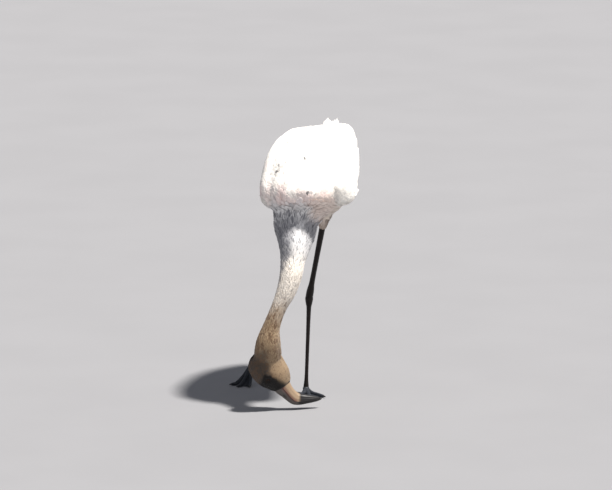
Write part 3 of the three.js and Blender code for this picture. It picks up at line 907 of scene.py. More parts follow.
class Coat:
    """Gathers closed vanes and turns them into one piece."""

    def __init__(self, name, seed):
        self.name, self.rng = name, np.random.default_rng(seed)
        self.parts = []
        self.count = 0

    def add(self, spine, normal, width, length, colour, tip_colour, streak, patch, kind="body",
            rows=6, columns=4, camber=0.1, fray=0.12, ridge=0.0, sweep=0.25, notch=0.1):
        """Vanes along spines (n, k, 3); patch is each root's place on the unwrap."""
        n = len(spine)
        if n == 0:
            return
        rng = self.rng
        u = 1 - (1 - np.linspace(0, 1, rows + 1)) ** TIP_CROWDING
        line = along_spine(spine, u)
        out = unit(along_spine(normal, u))
        ahead = unit(np.gradient(line, axis=1))
        side = unit(np.cross(ahead, out))
        out = np.cross(side, ahead)
        c = np.linspace(-1, 1, columns + 1)
        half = (width / 2)[:, None] * np.interp(u, *OUTLINES[kind])[None]
        frayed = 1 - fray * rng.random((n, rows + 1, columns + 1)) * (np.abs(c) > 0.9) * (
            u > 0.25)[None, :, None]
        reach = half[:, :, None] * c * frayed
        back = sweep * half[:, :, None] * (np.abs(c) ** 1.5) * u[None, :, None]
        # the tip is split into a few points of uneven length
        late = (u**7)[None, :, None] * length[:, None, None]
        ragged = -late * notch * rng.random((n, 1, columns + 1)) * (np.abs(c) > 0.1)
        roll = (ROLL * rng.standard_normal(n))[:, None, None]
        drop = half[:, :, None] * (c * roll * u[None, :, None] - camber * np.abs(c) ** 1.6)
        raised = ridge * np.exp(-(c * 5) ** 2) * (1 - 0.7 * u)[None, :, None]
        grid = (line[:, :, None] + side[:, :, None] * reach[..., None]
                + ahead[:, :, None] * (ragged - back)[..., None]
                + out[:, :, None] * (drop + raised + 0.03 * half[:, :, None])[..., None])
        per = (rows + 1) * (columns + 1)
        i, j = np.meshgrid(np.arange(rows), np.arange(columns), indexing="ij")
        a = (i * (columns + 1) + j).ravel()
        top = np.column_stack([a, a + 1, a + columns + 2, a + columns + 1])
        r = np.arange(rows) * (columns + 1)
        under = np.column_stack([r + columns + 1, r + 2 * columns + 1, r + columns, r])
        caps = np.array([np.arange(columns + 1)[::-1],
                         rows * (columns + 1) + np.arange(columns + 1)])
        starts = (self.count + np.arange(n) * per)[:, None, None]
        s_grid = np.repeat(u, columns + 1)
        c_grid = np.tile(c, rows + 1)
        colours = mix(np.repeat(colour, per, 0), np.repeat(tip_colour, per, 0),
                      np.tile(s_grid**2, n))
        vane = np.column_stack([np.outer(length, s_grid).ravel(),
                                np.outer(width / 2, c_grid).ravel(),
                                np.repeat(rng.random(n), per)])
        uv = np.repeat(patch, per, 0) + MAP_PATCH * np.column_stack(
            [np.tile(c_grid, n), np.tile(2 * s_grid - 1, n)])
        facing = np.broadcast_to(out[:, :, None], grid.shape).reshape(-1, 3)
        self.parts.append(dict(
            points=grid.reshape(-1, 3), colours=colours, vane=vane, uv=uv, facing=facing,
            streak=np.repeat(streak, per), per=per, bulge=np.tile(1 - c_grid**2, n),
            top=(top[None] + starts).reshape(-1, 4), under=(under[None] + starts).reshape(-1, 4),
            caps=(caps[None] + starts).reshape(-1, columns + 1)))
        self.count += n * per

    def piece(self, material):
        """One mesh object of all the vanes, with its maps."""
        every = lambda key: np.concatenate([p[key] for p in self.parts])
        blocks, smooth, shift = [], [], []
        for part in self.parts:
            for key in ("top", "under", "caps"):
                blocks.append(part[key])
                smooth.append(np.full(len(part[key]), key == "top"))
                shift.append(np.full(part[key].size, key == "caps"))
        thing = mesh_of(self.name, every("points"), blocks, np.concatenate(smooth))
        mesh = thing.data
        paint(mesh, every("colours"))
        note(mesh, "vane", every("vane"))
        note(mesh, "streak", every("streak"))
        corners = np.empty(len(mesh.loops), np.int32)
        mesh.loops.foreach_get("vertex_index", corners)
        uv = every("uv")[corners]
        # the end faces would have no width on the map, so their middles are raised a little
        uv[:, 1] += np.concatenate(shift) * every("bulge")[corners] * MAP_RAISE
        layer = mesh.uv_layers.new(name="OFBake")
        layer.data.foreach_set("uv", uv.astype(np.float32).ravel())
        # the tops are shaded partly by their spines' normals, so the coat reads as one soft mass
        soft = unit(SOFTNESS * every("facing") + (1 - SOFTNESS) * normals_of(mesh))[corners]
        on_top = np.zeros(len(mesh.polygons), bool)
        mesh.polygons.foreach_get("use_smooth", on_top)
        sides = np.empty(len(mesh.polygons), np.int32)
        mesh.polygons.foreach_get("loop_total", sides)
        soft[~np.repeat(on_top, sides)] = 0
        mesh.normals_split_custom_set(soft.tolist())
        mesh.materials.append(material)
        return thing


def lay_spines(hide, spots, length, steps, stiff, lift):
    """Spines that run over the skin along the lie of the coat, rising to their tips."""
    point, lie = spots["point"].copy(), spots["lie"].copy()
    spine, normal = [point.copy()], [spots["normal"].copy()]
    step = (length / steps)[:, None]
    for _ in range(steps):
        ahead = point + lie * step
        below = hide.spots_below(ahead)
        pull = below["point"] - ahead
        pull -= dot(pull, lie) * lie
        size = np.linalg.norm(pull, axis=1, keepdims=True)
        pull *= np.minimum(1, 0.55 * step / np.maximum(size, 1e-6)) * ramp(below["hold"], 0.2, 0.6)[
            :, None]
        reached = ahead + pull
        went = unit(reached - point)
        turned = unit(stiff * went + (1 - stiff) * below["lie"] * below["hold"][:, None])
        out = unit(normal[-1] * 0.35 + below["normal"] * below["hold"][:, None])
        out = unit(out - dot(out, went) * went)
        lie = unit(turned - 0.7 * dot(turned, out) * out)
        point = reached
        spine.append(point.copy())
        normal.append(out)
    spine, normal = np.stack(spine, 1), np.stack(normal, 1)
    share = np.linspace(0, 1, steps + 1)
    rise = lift[:, None] * (0.05 + 0.95 * share**1.1)
    return spine + normal * rise[..., None], normal


def turned_lie(spots, degrees, rng):
    """The lie at each root, turned a little at random about the normal."""
    swing = np.radians(degrees) * rng.standard_normal(len(spots["point"]))[:, None]
    side = np.cross(spots["normal"], spots["lie"])
    return unit(spots["lie"] * np.cos(swing) + side * np.sin(swing))


def root_patches(spots):
    """Each root's place on an unwrap of its loft: round it by its length."""
    return 0.01 + 0.98 * np.column_stack([spots["angle"] / (2 * np.pi), spots["t"]])


def chosen(spots, which):
    """Only the spots that which picks."""
    return {key: value[which] for key, value in spots.items()}


def clad(coat, hide, spots, look, width, steps, rows, columns, kind, stiff=0.4, swing=7,
         fray=0.2, camber=0.1, sweep=0.25, notch=0.14, vary=0.2, streaks=0.0, streak_width=0.3,
         evenness=0.03, rise=0.25):
    """Lays a vane at every spot."""
    rng = coat.rng
    count = len(spots["point"])
    length = spots["length"] * rng.uniform(1 - vary, 1 + vary, count) * look.feather_scale
    spots = dict(spots, lie=turned_lie(spots, swing, rng))
    lift = np.minimum(spots["depth"] * 0.9, rise * length) * rng.uniform(0.75, 1.15, count)
    spine, normal = lay_spines(hide, spots, length, steps, stiff, lift)
    # the darker feathers come in short runs along the coat's lie
    runs = np.column_stack([spots["angle"] * 11, spots["t"] * 42, np.zeros(count)])
    picked = 0.45 * rng.random(count) + 0.55 * ramp(grain(runs, 1.0, 2), 0.15, 0.85)
    amount = np.clip((spots["share"] * 1.15 - picked) * 3 + 0.25 * spots["share"], 0, 0.85)
    colour = mix(spots["base"], spots["dark"], amount)
    colour = colour * rng.uniform(1 - evenness, 1 + evenness, (count, 1))
    tip = mix(colour, np.minimum(colour * 1.08, 1), rng.random(count) * 0.6)
    streak = np.where(rng.random(count) < streaks * np.maximum(spots["share"], 0.08),
                      streak_width * rng.uniform(0.7, 1.3, count), 0.0)
    coat.add(spine, normal, length * width * rng.uniform(0.85, 1.15, count), length, colour, tip,
             streak, root_patches(spots), kind, rows, columns, camber, fray, sweep=sweep,
             notch=notch)


# ---- settings ----
def colour_setting(name, description, code):
    return FloatVectorProperty(name=name, description=description, subtype="COLOR", size=3,
                               min=0, max=1, default=tuple(tone(code)))


class CoatSettings(bpy.types.PropertyGroup):
    white: colour_setting("White", "Body and wing feathers", 0xF4F0EA)
    blush: colour_setting("Blush", "Pink wash on the breast and the right wing's bend", 0xE9C4C1)
    # Buff: the tint low on the front of the belly, and part of the tawny pink.
    buff: colour_setting("Buff", "Stained feathers of the belly", 0xC9AE93)
    grey: colour_setting("Grey", "Lower neck", 0xE2E1E2)
    # Dusk also paints the shade down the sides of the neck.
    dusk: colour_setting("Dusk", "Dark streaks of the lower neck and breast", 0x84848A)
    cream: colour_setting("Cream", "Middle of the neck", 0xEEE6DC)
    tan: colour_setting("Tan", "Upper neck, throat and cheeks", 0xB09779)
    # Brown also paints the shade at the thighs' ends.
    brown: colour_setting("Brown", "Mottling of the upper neck, the crown and the thighs' ends", 0x7C6048)
    # Ash: partly the head's grey-brown plumage, partly painted shade on its side.
    ash: colour_setting("Ash", "Side of the head", 0x46423E)
    # The black of the painted shade round the eye over the dusky lores, and of the breast's dark flecks.
    mask: colour_setting("Mask", "Round the eye and in front of it", 0x14100E)
    flight: colour_setting("Flight", "Flight feathers", 0x1F1B1C)
    feather_scale: FloatProperty(name="Feather length", description="Times the usual length",
                                 default=1.0, min=0.7, max=1.4, subtype="FACTOR")
    seed: IntProperty(name="Seed", description="Start of the random scatter", default=11, min=0)


class HornSettings(bpy.types.PropertyGroup):
    pale: colour_setting("Pale horn", "Base of the lower bill", 0x958069)
    grey: colour_setting("Grey horn", "Base of the upper bill", 0x57504C)
    mouth: colour_setting("Mouth edge", "Along the mouth line", 0x5B342F)
    black: colour_setting("Black horn", "Tip of the bill, and the claws", 0x171516)
    leg: colour_setting("Leg", "Bare leg", 0x120B09)
    foot: colour_setting("Foot", "Toes and webs", 0x25282E)
    iris: colour_setting("Iris", "Ring round the pupil", 0x23160F)
    scale_depth: FloatProperty(name="Scale depth", description="Height of the leg's scales",
                               default=0.00028, min=0, max=0.001, unit="LENGTH",
                               subtype="DISTANCE")


class StageSettings(bpy.types.PropertyGroup):
    key: FloatProperty(name="Key light", description="Strength of the high light on the right",
                       default=7.5, min=0)
    fill: FloatProperty(name="Fill light", description="Strength of the low light from the front",
                        default=0.55, min=0)
    sky: FloatProperty(name="Surround", description="Strength of the light all round",
                       default=0.36, min=0)
    floor: colour_setting("Floor", "Plain pale floor", 0x87878A)
    camera_distance: FloatProperty(name="Camera distance", description="From the bird's middle",
                                   default=12.0, min=2, unit="LENGTH", subtype="DISTANCE")


# ---- makers ----
LID_TONE, BILL_EDGE_TONE = tone(0x26201C), tone(0x4A423C)


class FLAMINGO_OT_skin(bpy.types.Operator):
    """Makes the one skin under the plumage, with lids round the eyes."""
    bl_idname = "flamingo.skin"
    bl_label = "Skin"

    def execute(self, context):
        look = context.scene.flamingo_coat
        thing = skin_surface()
        shape_lids(thing.data)
        hide = Hide(thing, look)
        HIDE["skin"] = hide
        speck = np.clip(1.5 * (grain(hide.points, 3.2, 1) + hide.share - 1), 0, 1)[:, None]
        colours = mix(hide.base, hide.dark, speck)
        for eye in EYES.values():
            near = 1 - ramp(np.linalg.norm(hide.points - eye, axis=1), 7.2, 9.5)
            colours = mix(colours, LID_TONE, near)
        colours = mix(colours, BILL_EDGE_TONE, ramp(to_head(hide.points)[:, 0], -3, 0))
        paint(thing.data, colours)
        made = Finish("skin_under_plumage", Specular_IOR_Level=0.25)
        pits = made.noise(900.0, 4.0)
        shade = made.between(pits, 0.25, 0.8, 0.8, 1.05)
        thing.data.materials.clear()
        thing.data.materials.append(made.finish(
            made.shaded(shade), made.between(pits, 0.2, 0.8, 0.55, 0.85), pits, 0.0005, 0.5))
        settle(thing, "white_feathers", "trunk", "neck_lower", "neck_middle", "neck_upper",
               "head", "wing_left", "wing_right", "thigh_left", "thigh_right")
        return {"FINISHED"}


def bare_face(points):
    """True where the face has no feathers: the eyes' openings and the strip at the bill."""
    bare = to_head(points)[:, 0] > -0.5
    for eye in EYES.values():
        bare |= np.linalg.norm(points - eye, axis=1) < 7.6
    return bare


class FLAMINGO_OT_coat(bpy.types.Operator):
    """Covers the skin with small overlapping feathers along the lie of the coat."""
    bl_idname = "flamingo.coat"
    bl_label = "Coat"

    def execute(self, context):
        look = context.scene.flamingo_coat
        hide = finished_hide()
        rng = np.random.default_rng(look.seed)
        # how far apart the roots are, as a share of a feather's length
        share = np.where(in_regions(hide.region, "head"), 0.235,
                         np.where(in_regions(hide.region, "neck"), 0.25, 0.28))
        ends = in_regions(hide.region, "thigh_left", "thigh_right") & (hide.t > 0.985)
        keep = lambda h: ~bare_face(h.points) & ~ends & (h.hold > 0.3)
        roots = sample_roots(hide, lambda h: h.length * share, rng, keep)
        roots = chosen(roots, ~bare_face(roots["point"]))
        of = lambda name: in_regions(roots["region"], name)
        t = roots["t"]
        white = feather_finish("white_plumage", tone(0xA9A19B), 0.9)
        grey = feather_finish("grey_plumage", tone(0x3A3D46), 0.7)
        fine = feather_finish("head_and_neck_plumage", tone(0x4A3B30), 0.5, 0.68)
        hairy = dict(steps=2, rows=3, columns=2, kind="lance", swing=9, camber=0.2, fray=0.2,
                     vary=0.25, evenness=0.05)
        full = dict(steps=3, rows=6, columns=6, kind="body", vary=0.22, notch=0.07, camber=0.07,
                    rise=0.18)
        jobs = [
            ("head_feathers_left", of("head") & (to_head(roots["point"])[:, 1] > 0), fine,
             "brown_feathers", dict(hairy, width=0.38, steps=1)),
            ("head_feathers_right", of("head") & (to_head(roots["point"])[:, 1] <= 0), fine,
             "brown_feathers", dict(hairy, width=0.38, steps=1)),
            ("neck_upper_feathers", of("neck") & (t > 0.69), fine, "tan_feathers",
             dict(hairy, width=0.42)),
            ("neck_middle_feathers", of("neck") & (t > 0.44) & (t <= 0.69), fine,
             "white_feathers", dict(hairy, width=0.46, kind="soft")),
            ("neck_lower_feathers", of("neck") & (t <= 0.44), grey, "grey_feathers",
             dict(full, width=0.5, columns=4, kind="soft", streaks=1.7, streak_width=1.5)),
            ("body_feathers", of("trunk"), white, "white_feathers",
             dict(full, width=0.62, streaks=0.8)),
            ("wing_left_coverts", of("wing_left"), white, "white_feathers",
             dict(full, width=0.58, streaks=0.8)),
            ("wing_right_coverts", of("wing_right"), white, "white_feathers",
             dict(full, width=0.58, streaks=0.8)),
            ("thigh_feathers_left", of("thigh_left"), white, "grey_feathers",
             dict(full, width=0.36, columns=4, kind="lance", stiff=0.7)),
            ("thigh_feathers_right", of("thigh_right"), white, "grey_feathers",
             dict(full, width=0.36, columns=4, kind="lance", stiff=0.7)),
        ]
        for order, (name, which, material, slot, way) in enumerate(jobs):
            coat = Coat(name, look.seed + 1 + order)
            clad(coat, hide, chosen(roots, which), look, **way)
            settle(coat.piece(material), slot)
            print(name, int(which.sum()), "feathers")
        return {"FINISHED"}


PUPIL_TONE, IRIS_RIM_TONE = tone(0x040404), tone(0x120B08)
# radians from the middle of the eye's front over which the pupil ends and the iris darkens
PUPIL_EDGE, IRIS_EDGE = (0.46, 0.52), (0.72, 0.86)


class FLAMINGO_OT_eyes(bpy.types.Operator):
    """Makes the two glossy eyes, each with a pupil and a brown iris."""
    bl_idname = "flamingo.eyes"
    bl_label = "Eyes"

    def execute(self, context):
        look = context.scene.flamingo_horn
        made = Finish("eye", Coat_Weight=0.05, Coat_Roughness=0.04, Specular_IOR_Level=0.16)
        veins = made.noise(2600.0, 2.0)
        shade = made.between(veins, 0.3, 0.7, 0.75, 1.2)
        material = made.finish(made.shaded(shade), made.between(veins, 0.2, 0.8, 0.08, 0.16),
                               veins, 0.00005, 0.15)
        rings, sides = 28, 40
        for name, eye in EYES.items():
            out = eye_axis(name)
            across = unit(np.cross(out, CROWN))
            up = np.cross(across, out)
            polar = np.repeat(np.pi * (np.arange(1, rings) / rings) ** 1.15, sides)
            around = np.tile(np.arange(sides) * 2 * np.pi / sides, rings - 1)
            bulge = EYE_RADIUS - 0.1 + 0.45 * np.exp(-(polar / 0.55) ** 2)
            ring = (out * np.cos(polar)[:, None] + np.sin(polar)[:, None] * (
                across * np.cos(around)[:, None] + up * np.sin(around)[:, None]))
            points = np.vstack([eye + ring * bulge[:, None], eye + out * (EYE_RADIUS + 0.35),
                                eye - out * EYE_RADIUS])
            faces = tube_faces(rings - 2, sides)
            top, bottom = len(points) - 2, len(points) - 1
            last = (rings - 2) * sides
            for k in range(sides):
                after = (k + 1) % sides
                faces += [[top, k, after], [bottom, last + after, last + k]]
            thing = mesh_of(f"{name}_eye", points, faces)
            polar = np.append(polar, [0, np.pi])
            colours = mix(np.tile(PUPIL_TONE, (len(polar), 1)), np.array(look.iris),
                          ramp(polar, *PUPIL_EDGE))
            colours = mix(colours, IRIS_RIM_TONE, ramp(polar, *IRIS_EDGE))
            paint(thing.data, colours)
            thing.data.materials.append(material)
            work = bmesh.new()
            work.from_mesh(thing.data)
            bmesh.ops.recalc_face_normals(work, faces=work.faces)
            work.to_mesh(thing.data)
            work.free()
            settle(thing, "eye_dark", f"eye_{name}")
        return {"FINISHED"}


BILL = dict(straight=36.0, bend_radius=24.0, bend=math.radians(53), tip=58.0, gap=0.35)
BEND_LENGTH = BILL["bend_radius"] * BILL["bend"]
BILL_LENGTH = BILL["straight"] + BEND_LENGTH + BILL["tip"]
UPPER_BILL = [(-0.04, 14, 19), (0.06, 13.5, 17.5), (0.16, 12.5, 14.5), (0.28, 11.5, 12),
              (0.4, 11, 10.5), (0.52, 10.5, 10), (0.66, 9.5, 9), (0.8, 8, 7.5), (0.92, 5.5, 5.5),
              (1, 1.5, 2)]
LOWER_BILL = [(-0.04, 14.5, 25), (0.06, 14, 22), (0.16, 14, 19.5), (0.28, 14, 19.5),
              (0.4, 14, 20), (0.52, 13, 18), (0.66, 11.5, 13.5), (0.8, 9, 9), (0.9, 6, 5),
              (0.97, 2, 1.5)]


def mouth_point(s):
    """The mouth line: straight from the face, round the bend, straight to the tip."""
    turned = np.clip((s - BILL["straight"]) / BEND_LENGTH, 0, 1) * BILL["bend"]
    after = max(s - BILL["straight"] - BEND_LENGTH, 0)
    return (min(s, BILL["straight"]) + BILL["bend_radius"] * math.sin(turned)
            + after * math.cos(BILL["bend"]),
            -BILL["bend_radius"] * (1 - math.cos(turned)) - after * math.sin(BILL["bend"]))


def bill_loft(table, upper):
    """One half of the bill, grown from the mouth line by half width and depth."""
    rows = []
    for share, width, deep in table:
        x, z = mouth_point(share * BILL_LENGTH)
        size = (width, deep, 0.1) if upper else (width, 0.1, deep)
        rows.append((*from_head((x, 0, z + BILL["gap"] * (1 if upper else -1))), *size))
    return Loft(rows, side=lambda t: -LEFT, roundness=2.3)


class FLAMINGO_OT_bill(bpy.types.Operator):
    """Makes the upper and the lower bill with nostrils, grooves and the black tip."""
    bl_idname = "flamingo.bill"
    bl_label = "Bill"

    def execute(self, context):
        look = context.scene.flamingo_horn
        made = Finish("bill_horn", Specular_IOR_Level=0.45, Coat_Weight=0.08,
                      Coat_Roughness=0.3)
        lines = made.noise(700.0, 5.0)
        shade = made.between(lines, 0.25, 0.8, 0.82, 1.1)
        material = made.finish(made.shaded(shade), made.between(lines, 0.2, 0.8, 0.34, 0.52),
                               lines, 0.0004, 0.35)
        rings, sides = 110, 48
        for name, table, upper in (("upper", UPPER_BILL, True), ("lower", LOWER_BILL, False)):
            loft = bill_loft(table, upper)
            t, angle, points = loft.grid(rings, sides)
            centre = curve(loft.line, t)
            outward = unit(points - centre)
            size = curve(loft.size, t)
            share = np.interp(t, np.linspace(0, 1, len(table)), [row[0] for row in table])
            high = np.abs(np.sin(angle))
            dent = np.zeros(len(t))
            edge = np.exp(-(high / 0.16) ** 2)
            teeth = 0.25 * edge * (np.sin(share * BILL_LENGTH * 2 * np.pi / 1.9) > 0)
            if upper:
                slot = np.exp(-((share - 0.17) / 0.055) ** 4 - ((high - 0.62) / 0.13) ** 2)
                dent += 1.3 * slot
                dent += 0.5 * np.exp(-((high - 0.84) / 0.06) ** 2) * ramp(share, 0.25, 0.4)
                hole = slot
                body = np.array(look.grey)
            else:
                dent += 0.9 * np.exp(-((high - 0.45) / 0.12) ** 2) * ramp(share, 0.05, 0.2) * (
                    1 - ramp(share, 0.75, 0.95))
                hole = 0 * share
                body = np.array(look.pale)
            inward = (0.35 * edge + dent + teeth)[:, None]
            points = points - outward * np.minimum(inward, 0.3 * size[:, :1])
            thing = mesh_of(f"{name}_bill", points, closed_tube(rings, sides))
            wave = 0.05 * (grain(points, 9, 4) - 0.5)
            colours = mix(np.tile(body, (len(t), 1)), np.array(look.mouth),
                          edge * (1 - ramp(share, 0.4, 0.5)) * 0.9)
            colours = mix(colours, np.array(look.black), ramp(share + wave, 0.44, 0.52))
            # painted shade: the nostril slit is coloured nearly black, as the inside of the opening
            colours = mix(colours, np.array(look.black), hole * 0.9)
            paint(thing.data, colours)
            thing.data.materials.append(material)
            settle(thing, "bill_horn", f"bill_{name}")
        return {"FINISHED"}


def scaly_finish(name, cell, roughness):
    """Skin in small scales with grooves between them, cell scales to the metre."""
    made = Finish(name, Specular_IOR_Level=0.22)
    place = made.node("TexCoord").outputs["Object"]
    cells = made.node("TexVoronoi", dict(feature="DISTANCE_TO_EDGE"), Vector=place,
                      Scale=cell).outputs["Distance"]
    fine = made.noise(1500.0, 3.0)
    groove = made.between(cells, 0.0, 0.12, 0.7, 1.0)
    shade = made.math("MULTIPLY", groove, made.between(fine, 0.2, 0.8, 0.85, 1.12))
    rough = made.between(fine, 0.2, 0.8, roughness - 0.08, roughness + 0.1)
    height = made.math("MULTIPLY_ADD", fine, 0.3, groove)
    return made.finish(made.shaded(shade), rough, height, 0.0005, 0.5)


def claw_finish():
    """Streaked black horn."""
    made = Finish("claw_horn", Specular_IOR_Level=0.5)
    lines = made.noise(900.0, 3.0)
    shade = made.between(lines, 0.2, 0.8, 0.7, 1.5)
    return made.finish(made.shaded(shade), made.between(lines, 0.2, 0.8, 0.3, 0.45), lines,
                       0.0002, 0.3)


# how far apart the cross scales lie on the legs and on the toes
LEG_SCALE_PITCH, TOE_SCALE_PITCH = 4.6, 3.4


class FLAMINGO_OT_legs(bpy.types.Operator):
    """Makes the bare legs with their cross scales and thick ankle joints."""
    bl_idname = "flamingo.legs"
    bl_label = "Legs"

    def execute(self, context):
        look = context.scene.flamingo_horn
        material = scaly_finish("leg_scales", 420.0, 0.42)
        for name, leg in LEGS.items():
            shank = limb(leg, True, [
                (0.22, 6, 6.4, 6.4), (0.302, 7.4, 7.8, 7.8), (0.6, 6.5, 6.9, 6.9),
                (0.84, 6.6, 7.2, 7.2), (0.93, 8.8, 9.8, 9.8), (0.985, 9.2, 10.5, 10.5),
                (1.0, 8.2, 9.2, 9.2)])
            tarsus = limb(leg, False, [
                (-0.02, 7.6, 8.6, 8.6), (0.0, 9.2, 10.5, 10.5), (0.03, 9.6, 11.2, 11.2),
                (0.08, 7.6, 9, 9), (0.15, 5.6, 6.6, 6.6), (0.5, 4.6, 5.8, 5.8),
                (0.86, 4.6, 5.6, 5.6), (0.97, 6.5, 6.5, 6.5), (0.995, 5.5, 5.5, 5.5)])
            for part, loft, rings in (("shank", shank, 150), ("tarsus", tarsus, 230)):
                sides = 28
                t, angle, points = loft.grid(rings, sides)
                centre = curve(loft.line, t)
                outward = unit(points - centre)
                run = np.linalg.norm(centre - centre[0], axis=1)
                front = 0.5 + 0.5 * np.cos(angle + np.pi / 2)
                step = np.modf(run / LEG_SCALE_PITCH + 0.08 * np.sin(3 * angle))[0]
                scale = (np.minimum(step, 1 - step) < 0.12) * 1.0
                small = 0.5 + 0.5 * np.sin(angle * 7) * np.sin(run * 2 * np.pi / 3.1)
                depth = look.scale_depth * 1000
                points -= outward * (depth * (scale * (0.35 + 0.65 * front)
                                              + 0.5 * small * (1 - front)))[:, None]
                thing = mesh_of(f"{name}_{part}", points, closed_tube(rings, sides))
                colours = np.tile(np.array(look.leg), (len(t), 1))
                worn = grain(points, 12, 2)[:, None]
                colours = mix(colours, colours * 1.9 + 0.01, worn * 0.5)
                paint(thing.data, colours)
                thing.data.materials.append(material)
                settle(thing, "leg_skin", f"{part}_{name}")
        return {"FINISHED"}


class FLAMINGO_OT_feet(bpy.types.Operator):
    """Rounds the webbed feet and the claws and gives them scales."""
    bl_idname = "flamingo.feet"
    bl_label = "Feet"

    def execute(self, context):
        look = context.scene.flamingo_horn
        skin = scaly_finish("foot_scales", 520.0, 0.5)
        horn = claw_finish()
        for name, leg in LEGS.items():
            foot = copy_of(f"foot_{name}", f"{name}_foot")
            remeshed(foot, FOOT_VOXEL)
            edges = edges_of(foot.data)
            points = corners_of(foot.data)
            smooth = spread(edges, points, 10, FOOT_EVEN_OUT)
            # what stands on the floor stays flat
            smooth[:, 2] = np.maximum(np.where(points[:, 2] < 0.2, points[:, 2], smooth[:, 2]), 0)
            normals = normals_of(foot.data)
            run = np.linalg.norm((smooth - leg["joint"])[:, :2], axis=1)
            step = np.modf(run / TOE_SCALE_PITCH)[0]
            groove = np.exp(-((step - 0.5) / 0.14) ** 2) * ramp(normals[:, 2], 0.1, 0.6)
            smooth[:, 2] -= 0.22 * groove * ramp(smooth[:, 2], 2.5, 4.5)
            move_corners(foot.data, smooth)
            colours = np.tile(np.array(look.foot), (len(smooth), 1))
            colours = mix(colours, colours * 0.55, groove)
            colours = mix(colours, colours * 1.5, grain(smooth, 9, 6))
            paint(foot.data, colours)
            foot.data.materials.clear()
            foot.data.materials.append(skin)
            settle(foot, "foot_skin", f"foot_{name}")
            for toe in ("inner", "middle", "outer", "hind"):
                claw = copy_of(f"claw_{toe}_{name}", f"{name}_{toe}_claw")
                remeshed(claw, CLAW_VOXEL)
                edges = edges_of(claw.data)
                points = corners_of(claw.data)
                smooth = spread(edges, points, 6, CLAW_EVEN_OUT)
                smooth[:, 2] = np.maximum(smooth[:, 2], 0)
                move_corners(claw.data, smooth)
                paint(claw.data, np.tile(np.array(look.black), (len(smooth), 1)))
                claw.data.materials.clear()
                claw.data.materials.append(horn)
                settle(claw, "claw_horn", f"claw_{toe}_{name}")
        return {"FINISHED"}


def copy_of(node, name):
    """A free copy of a solid, to be reshaped."""
    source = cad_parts[node]
    thing = bpy.data.objects.new(name, source.data.copy())
    bpy.context.scene.collection.objects.link(thing)
    return thing


# ---- large feathers ----
def fan_piece(name, seed, rows_of_feathers, material, columns=6, rows=16):
    """Explicit feathers, each (spine points, normals, width, kind, colour, tip colour, streak)."""
    coat = Coat(name, seed)
    for number, (spine, normal, width, kind, colour, tip, streak) in enumerate(rows_of_feathers):
        spine = np.array(spine, float)[None]
        normal = np.array(normal, float)[None]
        length = np.linalg.norm(np.diff(spine[0], axis=0), axis=1).sum()
        place = np.array([[0.04 + 0.92 * (number % 7) / 7, 0.04 + 0.92 * (number // 7) / 7]])
        coat.add(spine, normal, np.array([width]), np.array([length]), np.array([colour]),
                 np.array([tip]), np.array([streak]), place, kind, rows, columns, camber=0.10,
                 fray=0.10, ridge=0.7, sweep=0.35)
    return coat.piece(material)


# the course that the black feathers take along the wing
FLIGHT_COURSE = np.array([(44, 60, 540), (36, 140, 562), (26, 210, 578), (18, 265, 587),
                          (13, 305, 592), (10, 322, 594)], float)
FLIGHT_COUNT, TAIL_COUNT = 8, 13


class FLAMINGO_OT_flight(bpy.types.Operator):
    """Makes the black flight feathers and the tail."""
    bl_idname = "flamingo.flight"
    bl_label = "Flight feathers and tail"

    def execute(self, context):
        look = context.scene.flamingo_coat
        black = feather_finish("flight_plumage", tone(0x0C0B0B), 1.1, 0.5, 0.4)
        white = feather_finish("tail_plumage", tone(0x8A817B), 1.1, 0.58)
        dark, white_tone = np.array(look.flight), np.array(look.white)
        for name, side in (("left", 1), ("right", -1)):
            feathers = []
            for k in range(FLIGHT_COUNT):
                end = 232 + 12.5 * k
                start = 60 + 14 * k
                y = np.linspace(start, end, 7)
                path = curve(FLIGHT_COURSE, np.interp(
                    y, FLIGHT_COURSE[:, 1], np.linspace(0, 1, len(FLIGHT_COURSE))))
                sink = 7 - 1.9 * k
                path[:, 0] = side * (path[:, 0] + 3.5 - 1.1 * k)
                path[:, 2] -= sink * np.linspace(1, 0.3, 7)
                normal = np.tile(np.array([side * 0.97, 0, 0.2]), (7, 1))
                feathers.append((path, normal, 24 - 0.8 * k, "blade", dark, dark * 1.4, 0.5))
            settle(fan_piece(f"flight_feathers_{name}_vanes", 40 + side, feathers, black),
                   "black_feathers", f"flight_feathers_{name}")
        feathers = []
        for k in range(TAIL_COUNT):
            place = 2 * k / (TAIL_COUNT - 1) - 1
            angle = math.radians(9) * place
            length = 116 - 16 * place**2
            root = np.array([20 * place, 184, 566 - 2.2 * abs(place)])
            shares = np.linspace(0, 1, 7)[:, None]
            path = root + length * shares * np.array([math.sin(angle), math.cos(angle), 0.07])
            path[:, 2] += -3.5 * abs(place) - 5 * shares[:, 0] ** 2 * abs(place) ** 2
            normal = np.tile(unit(np.array([0.35 * place, 0, 1])), (7, 1))
            feathers.append((path, normal, 22, "blade", white_tone * 0.9, white_tone, 1.0))
        settle(fan_piece("tail_feathers", 50, feathers, white), "white_feathers", "tail")
        return {"FINISHED"}


def lay_row(coat, hide, look, loft, t, angle, length, width, kind, dusk, lift):
    """Lays one row of long feathers across a loft, at the share t and at each angle."""
    count = len(angle)
    share = t + 0.012 * coat.rng.standard_normal(count)
    spots = hide.spots_below(loft.at(share, angle, 5.0))
    spots["angle"], spots["t"] = np.mod(angle, 2 * np.pi), share
    spots["lie"] = turned_lie(spots, 3, coat.rng)
    long = length * coat.rng.uniform(0.9, 1.1, count)
    spine, normal = lay_spines(hide, spots, long, 7, 0.8, np.full(count, lift))
    colour = mix(even(look, "white", angle), np.array(look.dusk), coat.rng.random(count) * dusk)
    coat.add(spine, normal, np.full(count, float(width)), long, colour,
             np.minimum(colour * 1.04, 1), np.full(count, 0.3), root_patches(spots), kind, 14, 6,
             camber=0.08, fray=0.1, ridge=0.35, sweep=0.4, notch=0.03)


